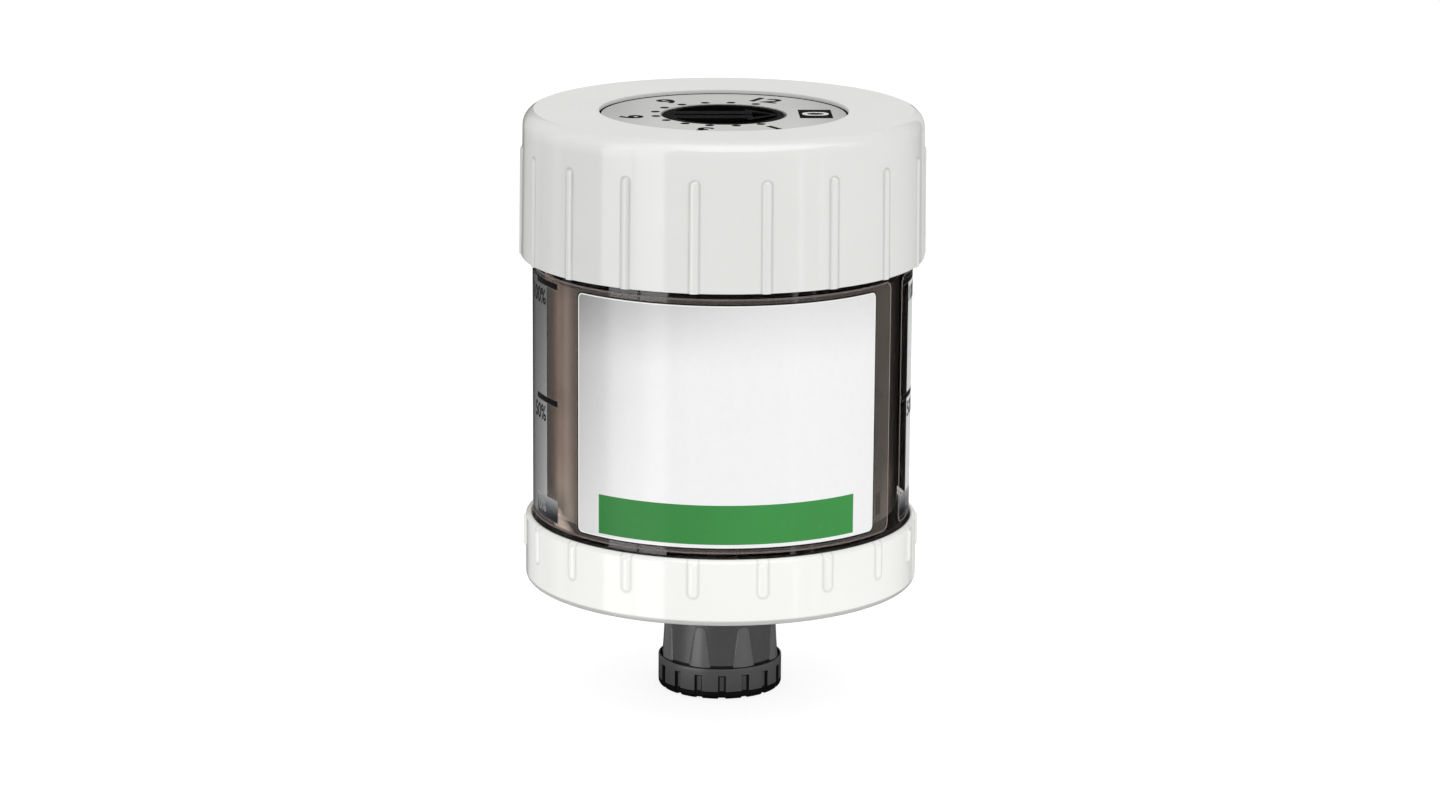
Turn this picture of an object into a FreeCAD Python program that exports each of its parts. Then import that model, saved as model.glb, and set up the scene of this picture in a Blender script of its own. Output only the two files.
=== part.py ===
import FreeCAD, Part
import math
import os

V = FreeCAD.Vector

# Single-point automatic lubricator, gas driven, 125 cm3 class.
# Frame: +Z up along the axis of the canister, origin at the centre of the
# closure cap's underside, the middle of the label faces -Y, millimetres.

# ---- driving dimensions -------------------------------------------------
# overall heights
z_closure_ring = 5.5          # top of the closure's castellated ring
z_closure_top = 19.3          # top of the closure's neck
z_spigot_end = 6.6            # outlet end of the threaded spigot
z_ring_bot = 20.0             # underside of the bottom ring
z_ring_top = 31.48            # top edge of the bottom ring
z_floor_bot = 30.7            # reservoir floor, underside
z_floor = 33.1                # reservoir floor, grease side
z_film_bot = 32.3             # label film
z_film_top = 75.85
z_cap_edge = 77.06            # lower edge of the top cap
z_cap_wall = 99.5             # where the cap's wall meets its top fillet
z_cap_top = 102.5

# body
r_bore = 30.7                 # reservoir bore
r_tank = 32.58                # reservoir outside
r_film_in = 32.62             # label film, inner and outer face
r_film = 32.72
film_seam = (58.3, 66.1)      # open seam of the film, degrees right of -Y
film_corner = 1.6

# top cap
r_cap_edge = 34.72            # wall at the lower edge
r_cap_top = 34.36             # wall at the top fillet
cap_fillet = 3.0
r_lip = 21.35                 # recess for the dial plate
lip_fall = (25.5, 21.6, 102.05)   # the top falls gently from the first radius to the lip
lip_round = 0.25
rib_count = 18
rib_r = 1.10                  # round section of a grip rib
rib_crest_low = 35.0          # crest at the cap's lower edge
rib_crest_high = 34.83        # crest at the rib's upper end
z_rib_high = 95.0             # centre of the rib's round upper end

# bottom ring
r_ring = 33.99
r_ring_top_in = 33.10
ring_crest = 34.39
z_ring_rib_low = 25.8         # centre of the rib's round lower end
ring_edge = 0.9

# dial and selector knob
r_dial = 21.15
dial_face = 101.28
dial_thick = 1.18
r_knob = 10.70
r_knob_hole = 10.78
knob_face = 101.18
r_knob_shaft = 6.0
r_hub_bore = 6.06

# piston and charge
z_piston = 74.4               # grease side of the piston, full canister
piston_h = 7.2
stroke = 41.1                 # full to empty

# outlet: G 1/4 parallel pipe thread, stated by its major radius
r_thread = 6.5785
r_outlet = 2.75

# closure
r_cl_ring = 10.80
r_cl_ring_in = 10.48
r_cl_neck_low = 10.12
r_cl_neck_mid = 9.77          # where the neck's flare ends, at z_flare
r_cl_neck_top = 9.72
z_flare = 11.5
r_cl_bore = 6.65
petal_r = 4.5                 # round face of a petal
petal_low = 10.46             # its outer line at the ring's top edge
petal_high = 9.98             # and at its rounded upper end
z_petal = 11.6                # centre of the round upper end
petal_half = (1.93, 1.02)     # half widths at the ring and at z_petal
notch_half = 0.67


# ---- helpers ------------------------------------------------------------
def pt(r, z):
    return V(r, 0, z)


def lathe(start, *steps):
    """Closed profile in the XZ plane, turned about Z. A step is (r, z) for a
    straight line, or ((r, z), (r, z)) for an arc through a mid point."""
    edges = []
    cur = start
    for s in list(steps) + [start]:
        if isinstance(s[0], tuple):
            mid, end = s
            edges.append(Part.Arc(pt(*cur), pt(*mid), pt(*end)).toShape())
            cur = end
        else:
            if abs(cur[0] - s[0]) + abs(cur[1] - s[1]) > 1e-7:
                edges.append(Part.makeLine(pt(*cur), pt(*s)))
            cur = s
    face = Part.Face(Part.Wire(edges))
    return face.revolve(V(0, 0, 0), V(0, 0, 1), 360)


def disc(r, z0, z1, x=0.0, y=0.0):
    return Part.makeCylinder(r, z1 - z0, V(x, y, z0))


def tube(r_in, r_out, z0, z1, x=0.0, y=0.0):
    return disc(r_out, z0, z1, x, y).cut(disc(r_in, z0 - 1, z1 + 1, x, y))


def box(x0, x1, y0, y1, z0, z1):
    return Part.makeBox(x1 - x0, y1 - y0, z1 - z0, V(x0, y0, z0))


def turned(shape, deg):
    s = shape.copy()
    s.rotate(V(0, 0, 0), V(0, 0, 1), deg)
    return s


def prism(points, z0, z1):
    pts = [V(x, y, z0) for x, y in points]
    face = Part.Face(Part.makePolygon(pts + [pts[0]]))
    return face.extrude(V(0, 0, z1 - z0))


def mid45(cx, cz, r, sx, sz):
    c = r * math.cos(math.pi / 4)
    return (cx + sx * c, cz + sz * c)


def fuse_all(base, tools):
    return base.fuse(tools).removeSplitter()


os.makedirs("parts", exist_ok=True)
made = {}


def keep(name, shape):
    solids = shape.Solids
    assert solids, name
    if len(solids) == 1:
        shape = solids[0]
    else:
        shape = Part.makeCompound(solids)
    assert shape.isValid(), name
    shape.exportStep("parts/%s.step" % name)
    made[name] = shape
    print("%-18s %3d solid(s) %9.1f mm3" % (name, len(solids), shape.Volume))


# ---- top cap ------------------------------------------------------------
fc = r_cap_top - cap_fillet
z_lip = lip_fall[2]
z_recess = dial_face - dial_thick - 0.02
cap = lathe(
    (r_cap_edge - 0.25, z_cap_edge),
    (mid45(r_cap_edge - 0.25, z_cap_edge + 0.25, 0.25, 1, -1), (r_cap_edge, z_cap_edge + 0.25)),
    (r_cap_top, z_cap_wall),
    (mid45(fc, z_cap_wall, cap_fillet, 1, 1), (fc, z_cap_top)),
    (lip_fall[0], z_cap_top),
    (lip_fall[1], z_lip),
    (mid45(lip_fall[1], z_lip - lip_round, lip_round, -1, 1), (r_lip, z_lip - lip_round)),
    (r_lip, z_recess),
    (10.95, z_recess),
    (10.95, 97.4),
    (r_hub_bore, 97.4),
    (r_hub_bore, 94.6),
    (9.0, 94.6),
    (9.0, 95.8),
    (12.55, 95.8),
    (12.55, 98.48),
    (22.95, 98.48),
    (22.95, 100.7),
    (31.4, 100.7),
    (mid45(31.4, 99.23, 1.47, 1, 1), (32.87, 99.23)),
    (33.02, 86.7),
    (32.72, 86.3),
    (32.72, 85.8),
    (33.05, 85.2),
    (33.15, z_cap_edge + 0.3),
    (33.35, z_cap_edge),
)
ribs = []
tilt = V(rib_crest_low - rib_crest_high, 0, z_cap_edge - z_rib_high)
length = tilt.Length
for i in range(rib_count):
    top = V(rib_crest_high - rib_r, 0, z_rib_high)
    rib = Part.makeCylinder(rib_r, length + 2.0, top, tilt)
    rib = rib.fuse(Part.makeSphere(rib_r, top))
    ribs.append(turned(rib, -90 + 10 + 20 * i))
ribs = [r.common(disc(40, z_cap_edge, 100)).cut(disc(33.8, 0, 120)) for r in ribs]
cap = fuse_all(cap, ribs)
keep("top_cap", cap)

# ---- dial plate: printed disc pressed into the cap's recess ---------------
z0 = dial_face - dial_thick
dial = lathe(
    (r_knob_hole, z0), (r_dial, z0), (r_dial, dial_face - 0.15),
    (r_dial - 0.15, dial_face), (r_knob_hole + 0.12, dial_face),
    (r_knob_hole, dial_face - 0.12),
)
keep("dial_plate", dial)

# ---- selector knob: arrow handle with a driver slot ----------------------
rec_r = 9.2
rec_d = 1.0
knob = lathe(
    (0, 92.3), (r_knob_shaft - 0.4, 92.3), (r_knob_shaft, 92.7),
    (r_knob_shaft, 93.65), (5.2, 93.65), (5.2, 94.42), (r_knob_shaft, 94.42),
    (r_knob_shaft, 95.2), (4.88, 95.2), (4.88, 96.8), (r_knob_shaft, 96.8),
    (r_knob_shaft, 97.5), (r_knob, 97.5), (r_knob, knob_face - 0.35),
    (mid45(r_knob - 0.35, knob_face - 0.35, 0.35, 1, 1), (r_knob - 0.35, knob_face)),
    (0, knob_face),
)
arrow = prism([(-12, -3.62), (3.9, -3.62), (3.9, -5.45), (9.75, 0),
               (3.9, 5.45), (3.9, 3.62), (-12, 3.62)],
              knob_face - rec_d - 1, knob_face + 1)
pocket = disc(rec_r, knob_face - rec_d, knob_face + 1).cut(arrow)
slot = prism([(-8.5, -0.65), (4.9, -0.65), (4.9, -2.7), (8.6, 0),
              (4.9, 2.7), (4.9, 0.65), (-8.5, 0.65)],
             knob_face - 1.3, knob_face + 1)
knob = knob.cut(pocket).cut(slot)
keep("selector_knob", knob)

keep("knob_o_ring", Part.makeTorus(5.47, 0.55, V(0, 0, 96.0)))

clip = tube(5.25, 7.3, 93.74, 94.34)
clip = clip.cut(prism([(0, 0), (9, -5.2), (9, 5.2)], 93, 95))
for a in (36, -36):
    clip = clip.fuse(disc(1.0, 93.74, 94.34,
                          6.6 * math.cos(math.radians(a)),
                          6.6 * math.sin(math.radians(a))))
    clip = clip.cut(disc(0.45, 93, 95, 6.6 * math.cos(math.radians(a)),
                         6.6 * math.sin(math.radians(a))))
clip = clip.cut(disc(5.25, 93, 95))
keep("knob_clip", clip)

# wiper: sprung disc riveted under the shaft, one arm pressing on the track
wiper = disc(4.6, 92.05, 92.29)
wiper = wiper.fuse(box(3.0, 14.0, -1.1, 1.1, 92.05, 92.29))
wiper = wiper.fuse(box(-9.0, -3.0, -1.1, 1.1, 92.05, 92.29))
for x in (13.4, -8.4):
    wiper = wiper.fuse(Part.makeCone(0.35, 0.8, 0.42, V(x, 0, 91.64)))
wiper = wiper.removeSplitter()
keep("wiper_contact", wiper)

# ---- circuit board with the timing resistors -----------------------------
post_xy = [(sx * 9.0, sy * 20.0) for sx in (1, -1) for sy in (1, -1)]
board = disc(25.0, 90.4, 91.6)
for x, y in post_xy:
    board = board.cut(disc(1.0, 90, 92, x, y))
board = board.cut(box(-26, -23.4, -3, 3, 90, 92))
keep("circuit_board", board)

res = []
for i in range(12):
    r = box(15.9, 18.1, -0.65, 0.65, 91.62, 92.1)
    res.append(turned(r, 60 + 21.818 * i))
keep("board_resistors", Part.makeCompound(res))

# ---- gas cells and their springs -----------------------------------------
cell_x = 12.6
for name, s in (("gas_cell_left", -1), ("gas_cell_right", 1)):
    c = lathe((0, 84.25), (11.3, 84.25), (11.6, 84.55), (11.6, 88.4),
              (11.2, 88.9), (10.1, 88.9), (10.1, 89.4), (0, 89.4))
    c.translate(V(s * cell_x, 0, 0))
    keep(name, c)

springs = []
for s in (-1, 1):
    prof = [(-5.0, 90.12), (-1.5, 90.12), (2.6, 89.45), (5.0, 89.45),
            (5.6, 89.75), (5.45, 89.98), (4.85, 89.70), (2.64, 89.70),
            (-1.46, 90.37), (-5.0, 90.37)]
    pts = [V(x, 0, z) for x, z in prof]
    f = Part.Face(Part.makePolygon(pts + [pts[0]]))
    sp = f.extrude(V(0, 4.0, 0))
    sp.translate(V(0, -2.0, 0))
    if s < 0:
        sp.rotate(V(0, 0, 0), V(0, 0, 1), 180)
    sp.translate(V(s * cell_x, 0, 0))
    springs.append(sp)
keep("contact_springs", Part.makeCompound(springs))

# ---- drive carrier: closes the gas space, holds cells and board -----------
carrier = lathe(
    (0, 82.5), (30.2, 82.5), (30.6, 82.9), (30.6, 85.6), (29.0, 85.6),
    (29.0, 87.6), (30.6, 87.6), (30.6, 91.02), (32.4, 91.02), (32.4, 92.6),
    (27.6, 92.6), (27.6, 84.2), (0, 84.2),
)
adds = []
for s in (-1, 1):
    adds.append(tube(11.8, 12.95, 84.0, 88.6, s * cell_x, 0))
for x, y in post_xy:
    adds.append(disc(1.9, 84.0, 90.38, x, y))
    adds.append(disc(0.9, 90.0, 92.2, x, y))
# a locating key for the notch in the board
adds.append(box(-28.0, -23.8, -2.6, 2.6, 84.0, 91.6))
cutters = []
for s in (-1, 1):
    cutters.append(disc(6.1, 83.9, 84.3, s * cell_x, 0))
    cutters.append(disc(1.5, 82, 85, s * cell_x, 0))
    cutters.append(disc(11.8, 84.2, 95, s * cell_x, 0))
carrier = fuse_all(carrier, adds)
for c in cutters:
    carrier = carrier.cut(c)
keep("drive_carrier", carrier)

keep("carrier_o_ring", Part.makeTorus(29.85, 0.83, V(0, 0, 86.6)))

keep("vent_membranes", Part.makeCompound(
    [disc(6.0, 83.92, 84.16, s * cell_x, 0) for s in (-1, 1)]))

# ---- piston and its seals -------------------------------------------------
zp = z_piston
piston = lathe(
    (0, zp), (29.9, zp), (30.3, zp + 0.4), (30.3, zp + 0.8), (28.8, zp + 0.8),
    (28.8, zp + 2.5), (30.3, zp + 2.5), (30.3, zp + 4.8), (28.8, zp + 4.8),
    (28.8, zp + 6.5), (30.3, zp + 6.5), (30.3, zp + piston_h),
    (27.2, zp + piston_h), (26.9, zp + 2.2), (0, zp + 2.2),
)
adds = [disc(5.0, zp + 2.0, zp + 5.4)]
for i in range(6):
    adds.append(turned(box(4.5, 27.6, -0.7, 0.7, zp + 2.0, zp + 5.0), 60 * i))
piston = fuse_all(piston, adds)
piston = piston.cut(disc(3.4, zp + 2.6, zp + 6))
keep("piston", piston)

for name, dz in (("piston_seal_lower", 0.8), ("piston_seal_upper", 4.8)):
    a = zp + dz
    seal = lathe((28.84, a + 0.05), (30.1, a + 0.05), (30.62, a + 0.35),
                 (30.62, a + 0.65), (30.2, a + 0.85), (30.62, a + 1.05),
                 (30.62, a + 1.35), (30.1, a + 1.65), (28.84, a + 1.65))
    keep(name, seal)

# ---- grease charge --------------------------------------------------------
r_grease = r_bore - 0.05
keep("grease_charge", lathe((0, z_floor + 0.05), (r_grease - 0.55, z_floor + 0.05),
                            (r_grease, z_floor + 0.6), (r_grease, zp - 0.05), (0, zp - 0.05)))

# ---- reservoir with outlet spigot, one clear moulding ---------------------
tank = lathe(
    (r_outlet, z_spigot_end),
    (r_thread - 0.9, z_spigot_end),
    (r_thread, z_spigot_end + 0.9),
    (r_thread, 19.2),
    (r_thread - 0.6, 19.5),
    (r_thread - 0.6, 20.3),
    (9.0, 20.3),
    (9.0, z_floor_bot - 0.6),
    (9.6, z_floor_bot),
    (30.2, z_floor_bot),
    (30.7, z_floor_bot - 0.5),
    (30.7, 21.85),
    (r_tank - 0.3, 21.85),
    (r_tank, 22.15),
    (r_tank, 87.0),
    (32.92, 87.5),
    (32.92, 87.9),
    (r_tank, 88.6),
    (r_tank, 90.7),
    (r_tank - 0.3, 91.0),
    (31.1, 91.0),
    (r_bore, 90.5),
    (r_bore, z_floor + 0.5),
    (r_bore - 0.5, z_floor),
    (5.2, z_floor),
    (r_outlet, z_floor - 2.4),
)
gussets = [turned(box(8.6, 31.2, -0.8, 0.8, 22.6, 31.0), 45 * i + 22.5) for i in range(8)]
tank = fuse_all(tank, gussets)
keep("reservoir", tank)

# ---- label film: clear wrap with an open seam ------------------------------
film = tube(r_film_in, r_film, z_film_bot, z_film_top)
a0, a1 = film_seam
pie = prism([(0, 0)] + [(50 * math.sin(math.radians(a)), -50 * math.cos(math.radians(a)))
                        for a in (a0, (a0 + a1) / 2, a1)],
            z_film_bot - 1, z_film_top + 1)
film = film.cut(pie)


def corner_cut(angle, side, z_edge, up):
    """Rounds one corner of the film: a small square less a quarter disc,
    pushed through the wall at this angle. u runs along the wrap, w along Z."""
    c = film_corner
    sgn = 1 if up else -1
    arc = [(side * (c - c * math.cos(math.pi / 2 * k / 12)),
            sgn * (c - c * math.sin(math.pi / 2 * k / 12))) for k in range(13)]
    loop = [(-side * 0.6, sgn * c)] + arc + [(c * side, -sgn * 0.6), (-side * 0.6, -sgn * 0.6)]
    a = math.radians(angle)
    tx, ty = math.cos(a), math.sin(a)
    nx, ny = math.sin(a), -math.cos(a)
    vs = [V(nx * 31.5 + tx * u, ny * 31.5 + ty * u, z_edge + w) for u, w in loop]
    f = Part.Face(Part.makePolygon(vs + [vs[0]]))
    return f.extrude(V(nx * 2.5, ny * 2.5, 0))


# the end at a0 runs back towards smaller angles, the end at a1 towards larger
for ang, side in ((a0, -1), (a1, 1)):
    film = film.cut(corner_cut(ang, side, z_film_bot, True))
    film = film.cut(corner_cut(ang, side, z_film_top, False))
keep("label_film", film)

# ---- bottom ring ------------------------------------------------------------
ring = lathe(
    (9.4, z_ring_bot),
    (r_ring - ring_edge, z_ring_bot),
    (mid45(r_ring - ring_edge, z_ring_bot + ring_edge, ring_edge, 1, -1),
     (r_ring, z_ring_bot + ring_edge)),
    (r_ring, z_ring_top - 0.55),
    (r_ring - 0.45, z_ring_top - 0.10),
    (r_ring - 0.62, z_ring_top),
    (r_ring_top_in, z_ring_top),
    (r_ring_top_in - 0.30, z_ring_top - 0.45),
    (32.72, 30.2),
    (32.72, 21.8),
    (11.0, 21.8),
    (11.0, 22.6),
    (9.4, 22.6),
)
ribs = []
for i in range(rib_count):
    low = V(ring_crest - rib_r, 0, z_ring_rib_low)
    rib = Part.makeCylinder(rib_r, z_ring_top - 0.62 - z_ring_rib_low, low)
    rib = rib.fuse(Part.makeSphere(rib_r, low))
    ribs.append(turned(rib, -90 + 10 + 20 * i))
ribs = [r.cut(disc(32.9, 0, 60)) for r in ribs]
ring = fuse_all(ring, ribs)
keep("bottom_ring", ring)

# ---- closure cap and its sealing disc ---------------------------------------
cl = lathe(
    (0, 0.6), (7.6, 0.6), (8.2, 0.0), (r_cl_ring - 0.85, 0.0),
    (mid45(r_cl_ring - 0.85, 1.0, 0.85, 1, -1), (r_cl_ring, 1.0)),
    (r_cl_ring, z_closure_ring - 0.15), (r_cl_ring - 0.15, z_closure_ring),
    (r_cl_ring_in + 0.04, z_closure_ring), (r_cl_ring_in, z_closure_ring - 0.08),
    (r_cl_ring_in - 0.06, z_closure_ring - 0.95), (r_cl_neck_low, z_closure_ring - 0.95),
    (r_cl_neck_low, z_closure_ring),
    ((9.905, 8.4), (r_cl_neck_mid, z_flare)),
    (r_cl_neck_top, z_closure_top - 0.4), (r_cl_neck_top - 0.4, z_closure_top),
    (r_cl_bore + 0.5, z_closure_top), (r_cl_bore, z_closure_top - 0.5),
    (r_cl_bore, 5.0), (0, 5.0),
)
petals = []
slope = (petal_low - petal_high) / (z_petal - z_closure_ring)
low_c = V(petal_low + slope * 3.5 - petal_r, 0, z_closure_ring - 3.5)
high_c = V(petal_high - slope * 4.0 - petal_r, 0, z_petal + 4.0)
axis = high_c - low_c
w_low, w_high = petal_half
foot = z_closure_ring - 1.1
tongue = Part.Face(Part.Wire([
    Part.makeLine(V(9.3, -w_low, foot), V(9.3, w_low, foot)),
    Part.makeLine(V(9.3, w_low, foot), V(9.3, w_low, z_closure_ring)),
    Part.makeLine(V(9.3, w_low, z_closure_ring), V(9.3, w_high, z_petal)),
    Part.Arc(V(9.3, w_high, z_petal), V(9.3, 0, z_petal + 1.1),
             V(9.3, -w_high, z_petal)).toShape(),
    Part.makeLine(V(9.3, -w_high, z_petal), V(9.3, -w_low, z_closure_ring)),
    Part.makeLine(V(9.3, -w_low, z_closure_ring), V(9.3, -w_low, foot)),
])).extrude(V(2.0, 0, 0))
for i in range(8):
    p = Part.makeCylinder(petal_r, axis.Length, low_c, axis)
    p = p.common(tongue).common(disc(r_cl_ring - 0.15, 0, 30))
    petals.append(turned(p, -90 + 22.5 + 45 * i))
cl = fuse_all(cl, petals)
notches = []
for i in range(16):
    n = box(r_cl_ring - 0.50, r_cl_ring + 1, -notch_half, notch_half, -1, z_closure_ring - 1.2)
    m = box(r_cl_ring - 1.25, r_cl_ring + 1, -notch_half, notch_half, -1, 0.36)
    notches.append(turned(n.fuse(m), -90 + 22.5 * i))
for n in notches:
    cl = cl.cut(n)
keep("closure_cap", cl)

keep("closure_seal", lathe((0, 5.05), (6.1, 5.05), (6.3, 5.25), (6.3, 6.35),
                           (6.1, 6.55), (0, 6.55)))

total = sum(s.Volume for s in made.values())
lo = [min(getattr(s.BoundBox, a) for s in made.values()) for a in ("XMin", "YMin", "ZMin")]
hi = [max(getattr(s.BoundBox, a) for s in made.values()) for a in ("XMax", "YMax", "ZMax")]
print(len(made), "nodes, box", [round(v, 2) for v in lo], [round(v, 2) for v in hi],
      "volume %.1f cm3" % (total / 1000.0))
print("swept charge %.1f cm3" % (math.pi * r_bore ** 2 * stroke / 1000.0))
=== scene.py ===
import math

import bmesh
import bpy
import numpy as np
from mathutils import Matrix, Vector


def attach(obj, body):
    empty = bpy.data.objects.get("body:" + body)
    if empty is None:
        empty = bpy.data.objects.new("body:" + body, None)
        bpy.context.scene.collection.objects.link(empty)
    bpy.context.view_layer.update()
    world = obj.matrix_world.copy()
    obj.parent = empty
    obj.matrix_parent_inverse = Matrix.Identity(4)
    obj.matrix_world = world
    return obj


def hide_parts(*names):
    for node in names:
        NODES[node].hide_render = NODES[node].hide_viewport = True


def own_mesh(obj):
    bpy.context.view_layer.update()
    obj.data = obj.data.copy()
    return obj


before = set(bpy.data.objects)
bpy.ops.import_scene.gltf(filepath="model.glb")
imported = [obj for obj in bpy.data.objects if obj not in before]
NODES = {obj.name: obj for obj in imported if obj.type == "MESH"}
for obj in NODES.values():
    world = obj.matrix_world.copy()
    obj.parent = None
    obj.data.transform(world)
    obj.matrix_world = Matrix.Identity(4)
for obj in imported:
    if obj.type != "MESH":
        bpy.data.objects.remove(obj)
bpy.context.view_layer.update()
MM = 0.001
RAD = math.pi / 180

# ---------------------------------------------------------------------------
# dimensions shared with the CAD part, millimetres
# ---------------------------------------------------------------------------
R_BORE, R_TANK, R_FILM_IN, R_FILM = 30.7, 32.58, 32.62, 32.72
PITCH = 1.337
THREAD_MID, THREAD_AMP = 6.15, 0.4285
DIAL_FACE = 101.28


# ---------------------------------------------------------------------------
# mesh helpers
# ---------------------------------------------------------------------------
def link(name, verts, faces, sharp=34.0, smooth=True):
    me = bpy.data.meshes.new(name)
    me.from_pydata([tuple(v) for v in verts], [], [tuple(f) for f in faces])
    me.validate()
    if smooth:
        me.polygons.foreach_set("use_smooth", [True] * len(me.polygons))
        me.set_sharp_from_angle(angle=sharp * RAD)
    me.update()
    ob = bpy.data.objects.new(name, me)
    bpy.context.scene.collection.objects.link(ob)
    return ob


def weighted(ob):
    m = ob.modifiers.new("even_normals", "WEIGHTED_NORMAL")
    m.keep_sharp = True
    m.weight = 80
    return ob


def arc(p0, p1, centre, n):
    """Points after p0 up to and with p1 on the arc about centre."""
    a0 = math.atan2(p0[1] - centre[1], p0[0] - centre[0])
    a1 = math.atan2(p1[1] - centre[1], p1[0] - centre[0])
    while a1 - a0 > math.pi:
        a1 -= 2 * math.pi
    while a1 - a0 < -math.pi:
        a1 += 2 * math.pi
    r = math.hypot(p0[0] - centre[0], p0[1] - centre[1])
    return [(centre[0] + r * math.cos(a0 + (a1 - a0) * k / n),
             centre[1] + r * math.sin(a0 + (a1 - a0) * k / n)) for k in range(1, n + 1)]


def run(p0, p1, n):
    return [(p0[0] + (p1[0] - p0[0]) * k / n, p0[1] + (p1[1] - p0[1]) * k / n)
            for k in range(1, n + 1)]


def turned_grid(R, Z, TH, closed=True):
    """Vertices and faces of a surface given as rows (profile) by columns (azimuth).
    Rows run counter-clockwise round the section, so faces look outwards. A row
    with R = 0 all along is a pole."""
    R, Z = np.asarray(R, float), np.asarray(Z, float)
    n, m = R.shape
    T = np.asarray(TH, float) * RAD
    verts, ids = [], []
    for i in range(n):
        if np.all(R[i] < 1e-9):
            ids.append([len(verts)] * m)
            verts.append((0.0, 0.0, Z[i, 0] * MM))
        else:
            ids.append(list(range(len(verts), len(verts) + m)))
            xs, ys = R[i] * np.cos(T) * MM, R[i] * np.sin(T) * MM
            verts.extend(zip(xs.tolist(), ys.tolist(), (Z[i] * MM).tolist()))
    faces = []
    for i in range(n if closed else n - 1):
        a, b = ids[i], ids[(i + 1) % n]
        pa, pb = a[0] == a[-1] and m > 1, b[0] == b[-1] and m > 1
        if pa and pb:
            continue
        for j in range(m):
            k = (j + 1) % m
            if pa:
                faces.append((a[0], b[k], b[j]))
            elif pb:
                faces.append((a[j], a[k], b[0]))
            else:
                faces.append((a[j], a[k], b[k], b[j]))
    return verts, faces


def smax(a, b, k):
    """The larger of a and b, with a small blend of width k where they cross."""
    return np.maximum(a, b) + np.maximum(k - np.abs(a - b), 0.0) ** 2 / (4 * k)


def wrap_deg(a):
    return (a + 180.0) % 360.0 - 180.0


def sheet_solid(name, pts, faces, place, low, high, sharp=34.0):
    """A thin closed piece from a flat layout. place(u, w, h) gives the point in
    metres at height h above the surface that it lies on."""
    n = len(pts)
    verts = [place(u, w, low) for u, w in pts] + [place(u, w, high) for u, w in pts]
    out = [tuple(i + n for i in f) for f in faces] + [tuple(reversed(f)) for f in faces]
    seen = {}
    for f in faces:
        for i, a in enumerate(f):
            b = f[(i + 1) % len(f)]
            seen[(a, b)] = True
    for a, b in seen:
        if (b, a) not in seen:
            out.append((a, b, b + n, a + n))
    return link(name, verts, out, sharp)


def on_wrap(u, w, h):
    """u is degrees to the right of -Y round the canister, w is height in mm, h is
    the radius in mm."""
    a = u * RAD
    return (h * MM * math.sin(a), -h * MM * math.cos(a), w * MM)


def on_dial(u, w, h):
    return (u * MM, w * MM, h * MM)


def panel_layout(a0, a1, z0, z1, corner, radius, step=1.4, rows=1):
    """Flat layout of a rectangle with rounded corners, in degrees by mm."""
    per = 1.0 / (radius * RAD)
    c = corner * per
    us = []
    k = 8
    for i in range(k + 1):
        us.append(a0 + c * (1 - math.cos(math.pi / 2 * i / k)) if corner else a0)
    n = max(2, int((a1 - a0 - 2 * c) / step))
    us += [a0 + c + (a1 - a0 - 2 * c) * i / n for i in range(1, n)]
    for i in range(k + 1):
        us.append(a1 - c * (1 - math.cos(math.pi / 2 * (k - i) / k)) if corner else a1)
    if not corner:
        us = sorted(set(us))
    pts, faces = [], []
    for u in us:
        d = 0.0
        if corner:
            e = min((u - a0), (a1 - u)) / per
            if e < corner:
                d = corner - math.sqrt(max(corner ** 2 - (corner - e) ** 2, 0.0))
        for r in range(rows + 1):
            lo, hi = z0 + d, z1 - d
            pts.append((u, lo + (hi - lo) * r / rows))
    for i in range(len(us) - 1):
        for r in range(rows):
            a = i * (rows + 1) + r
            b = a + rows + 1
            faces.append((a, b, b + 1, a + 1))
    return pts, faces


def border_layout(a0, a1, z0, z1, corner, width, radius, step=1.4):
    """Flat layout of a narrow line that follows the edge of such a rectangle."""
    per = 1.0 / (radius * RAD)

    def outline(d):
        c = max(corner - d, 0.05)
        x0, x1, y0, y1 = a0 / per + d, a1 / per - d, z0 + d, z1 - d
        n = max(2, int((a1 - a0) / step))
        out = []
        for k in range(n + 1):
            out.append((x0 + c + (x1 - x0 - 2 * c) * k / n, y0))
        for k in range(1, 8):
            t = math.pi / 2 * k / 8
            out.append((x1 - c + c * math.sin(t), y0 + c - c * math.cos(t)))
        for k in range(5):
            out.append((x1, y0 + c + (y1 - y0 - 2 * c) * k / 4))
        for k in range(1, 8):
            t = math.pi / 2 * k / 8
            out.append((x1 - c + c * math.cos(t), y1 - c + c * math.sin(t)))
        for k in range(n + 1):
            out.append((x1 - c - (x1 - x0 - 2 * c) * k / n, y1))
        for k in range(1, 8):
            t = math.pi / 2 * k / 8
            out.append((x0 + c - c * math.sin(t), y1 - c + c * math.cos(t)))
        for k in range(5):
            out.append((x0, y1 - c - (y1 - y0 - 2 * c) * k / 4))
        for k in range(1, 8):
            t = math.pi / 2 * k / 8
            out.append((x0 + c - c * math.cos(t), y0 + c - c * math.sin(t)))
        return [(x * per, y) for x, y in out]

    o, i = outline(0.0), outline(width)
    n = len(o)
    pts = o + i
    faces = [(k, (k + 1) % n, n + (k + 1) % n, n + k) for k in range(n)]
    return pts, faces


_glyph_cache = {}


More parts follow.
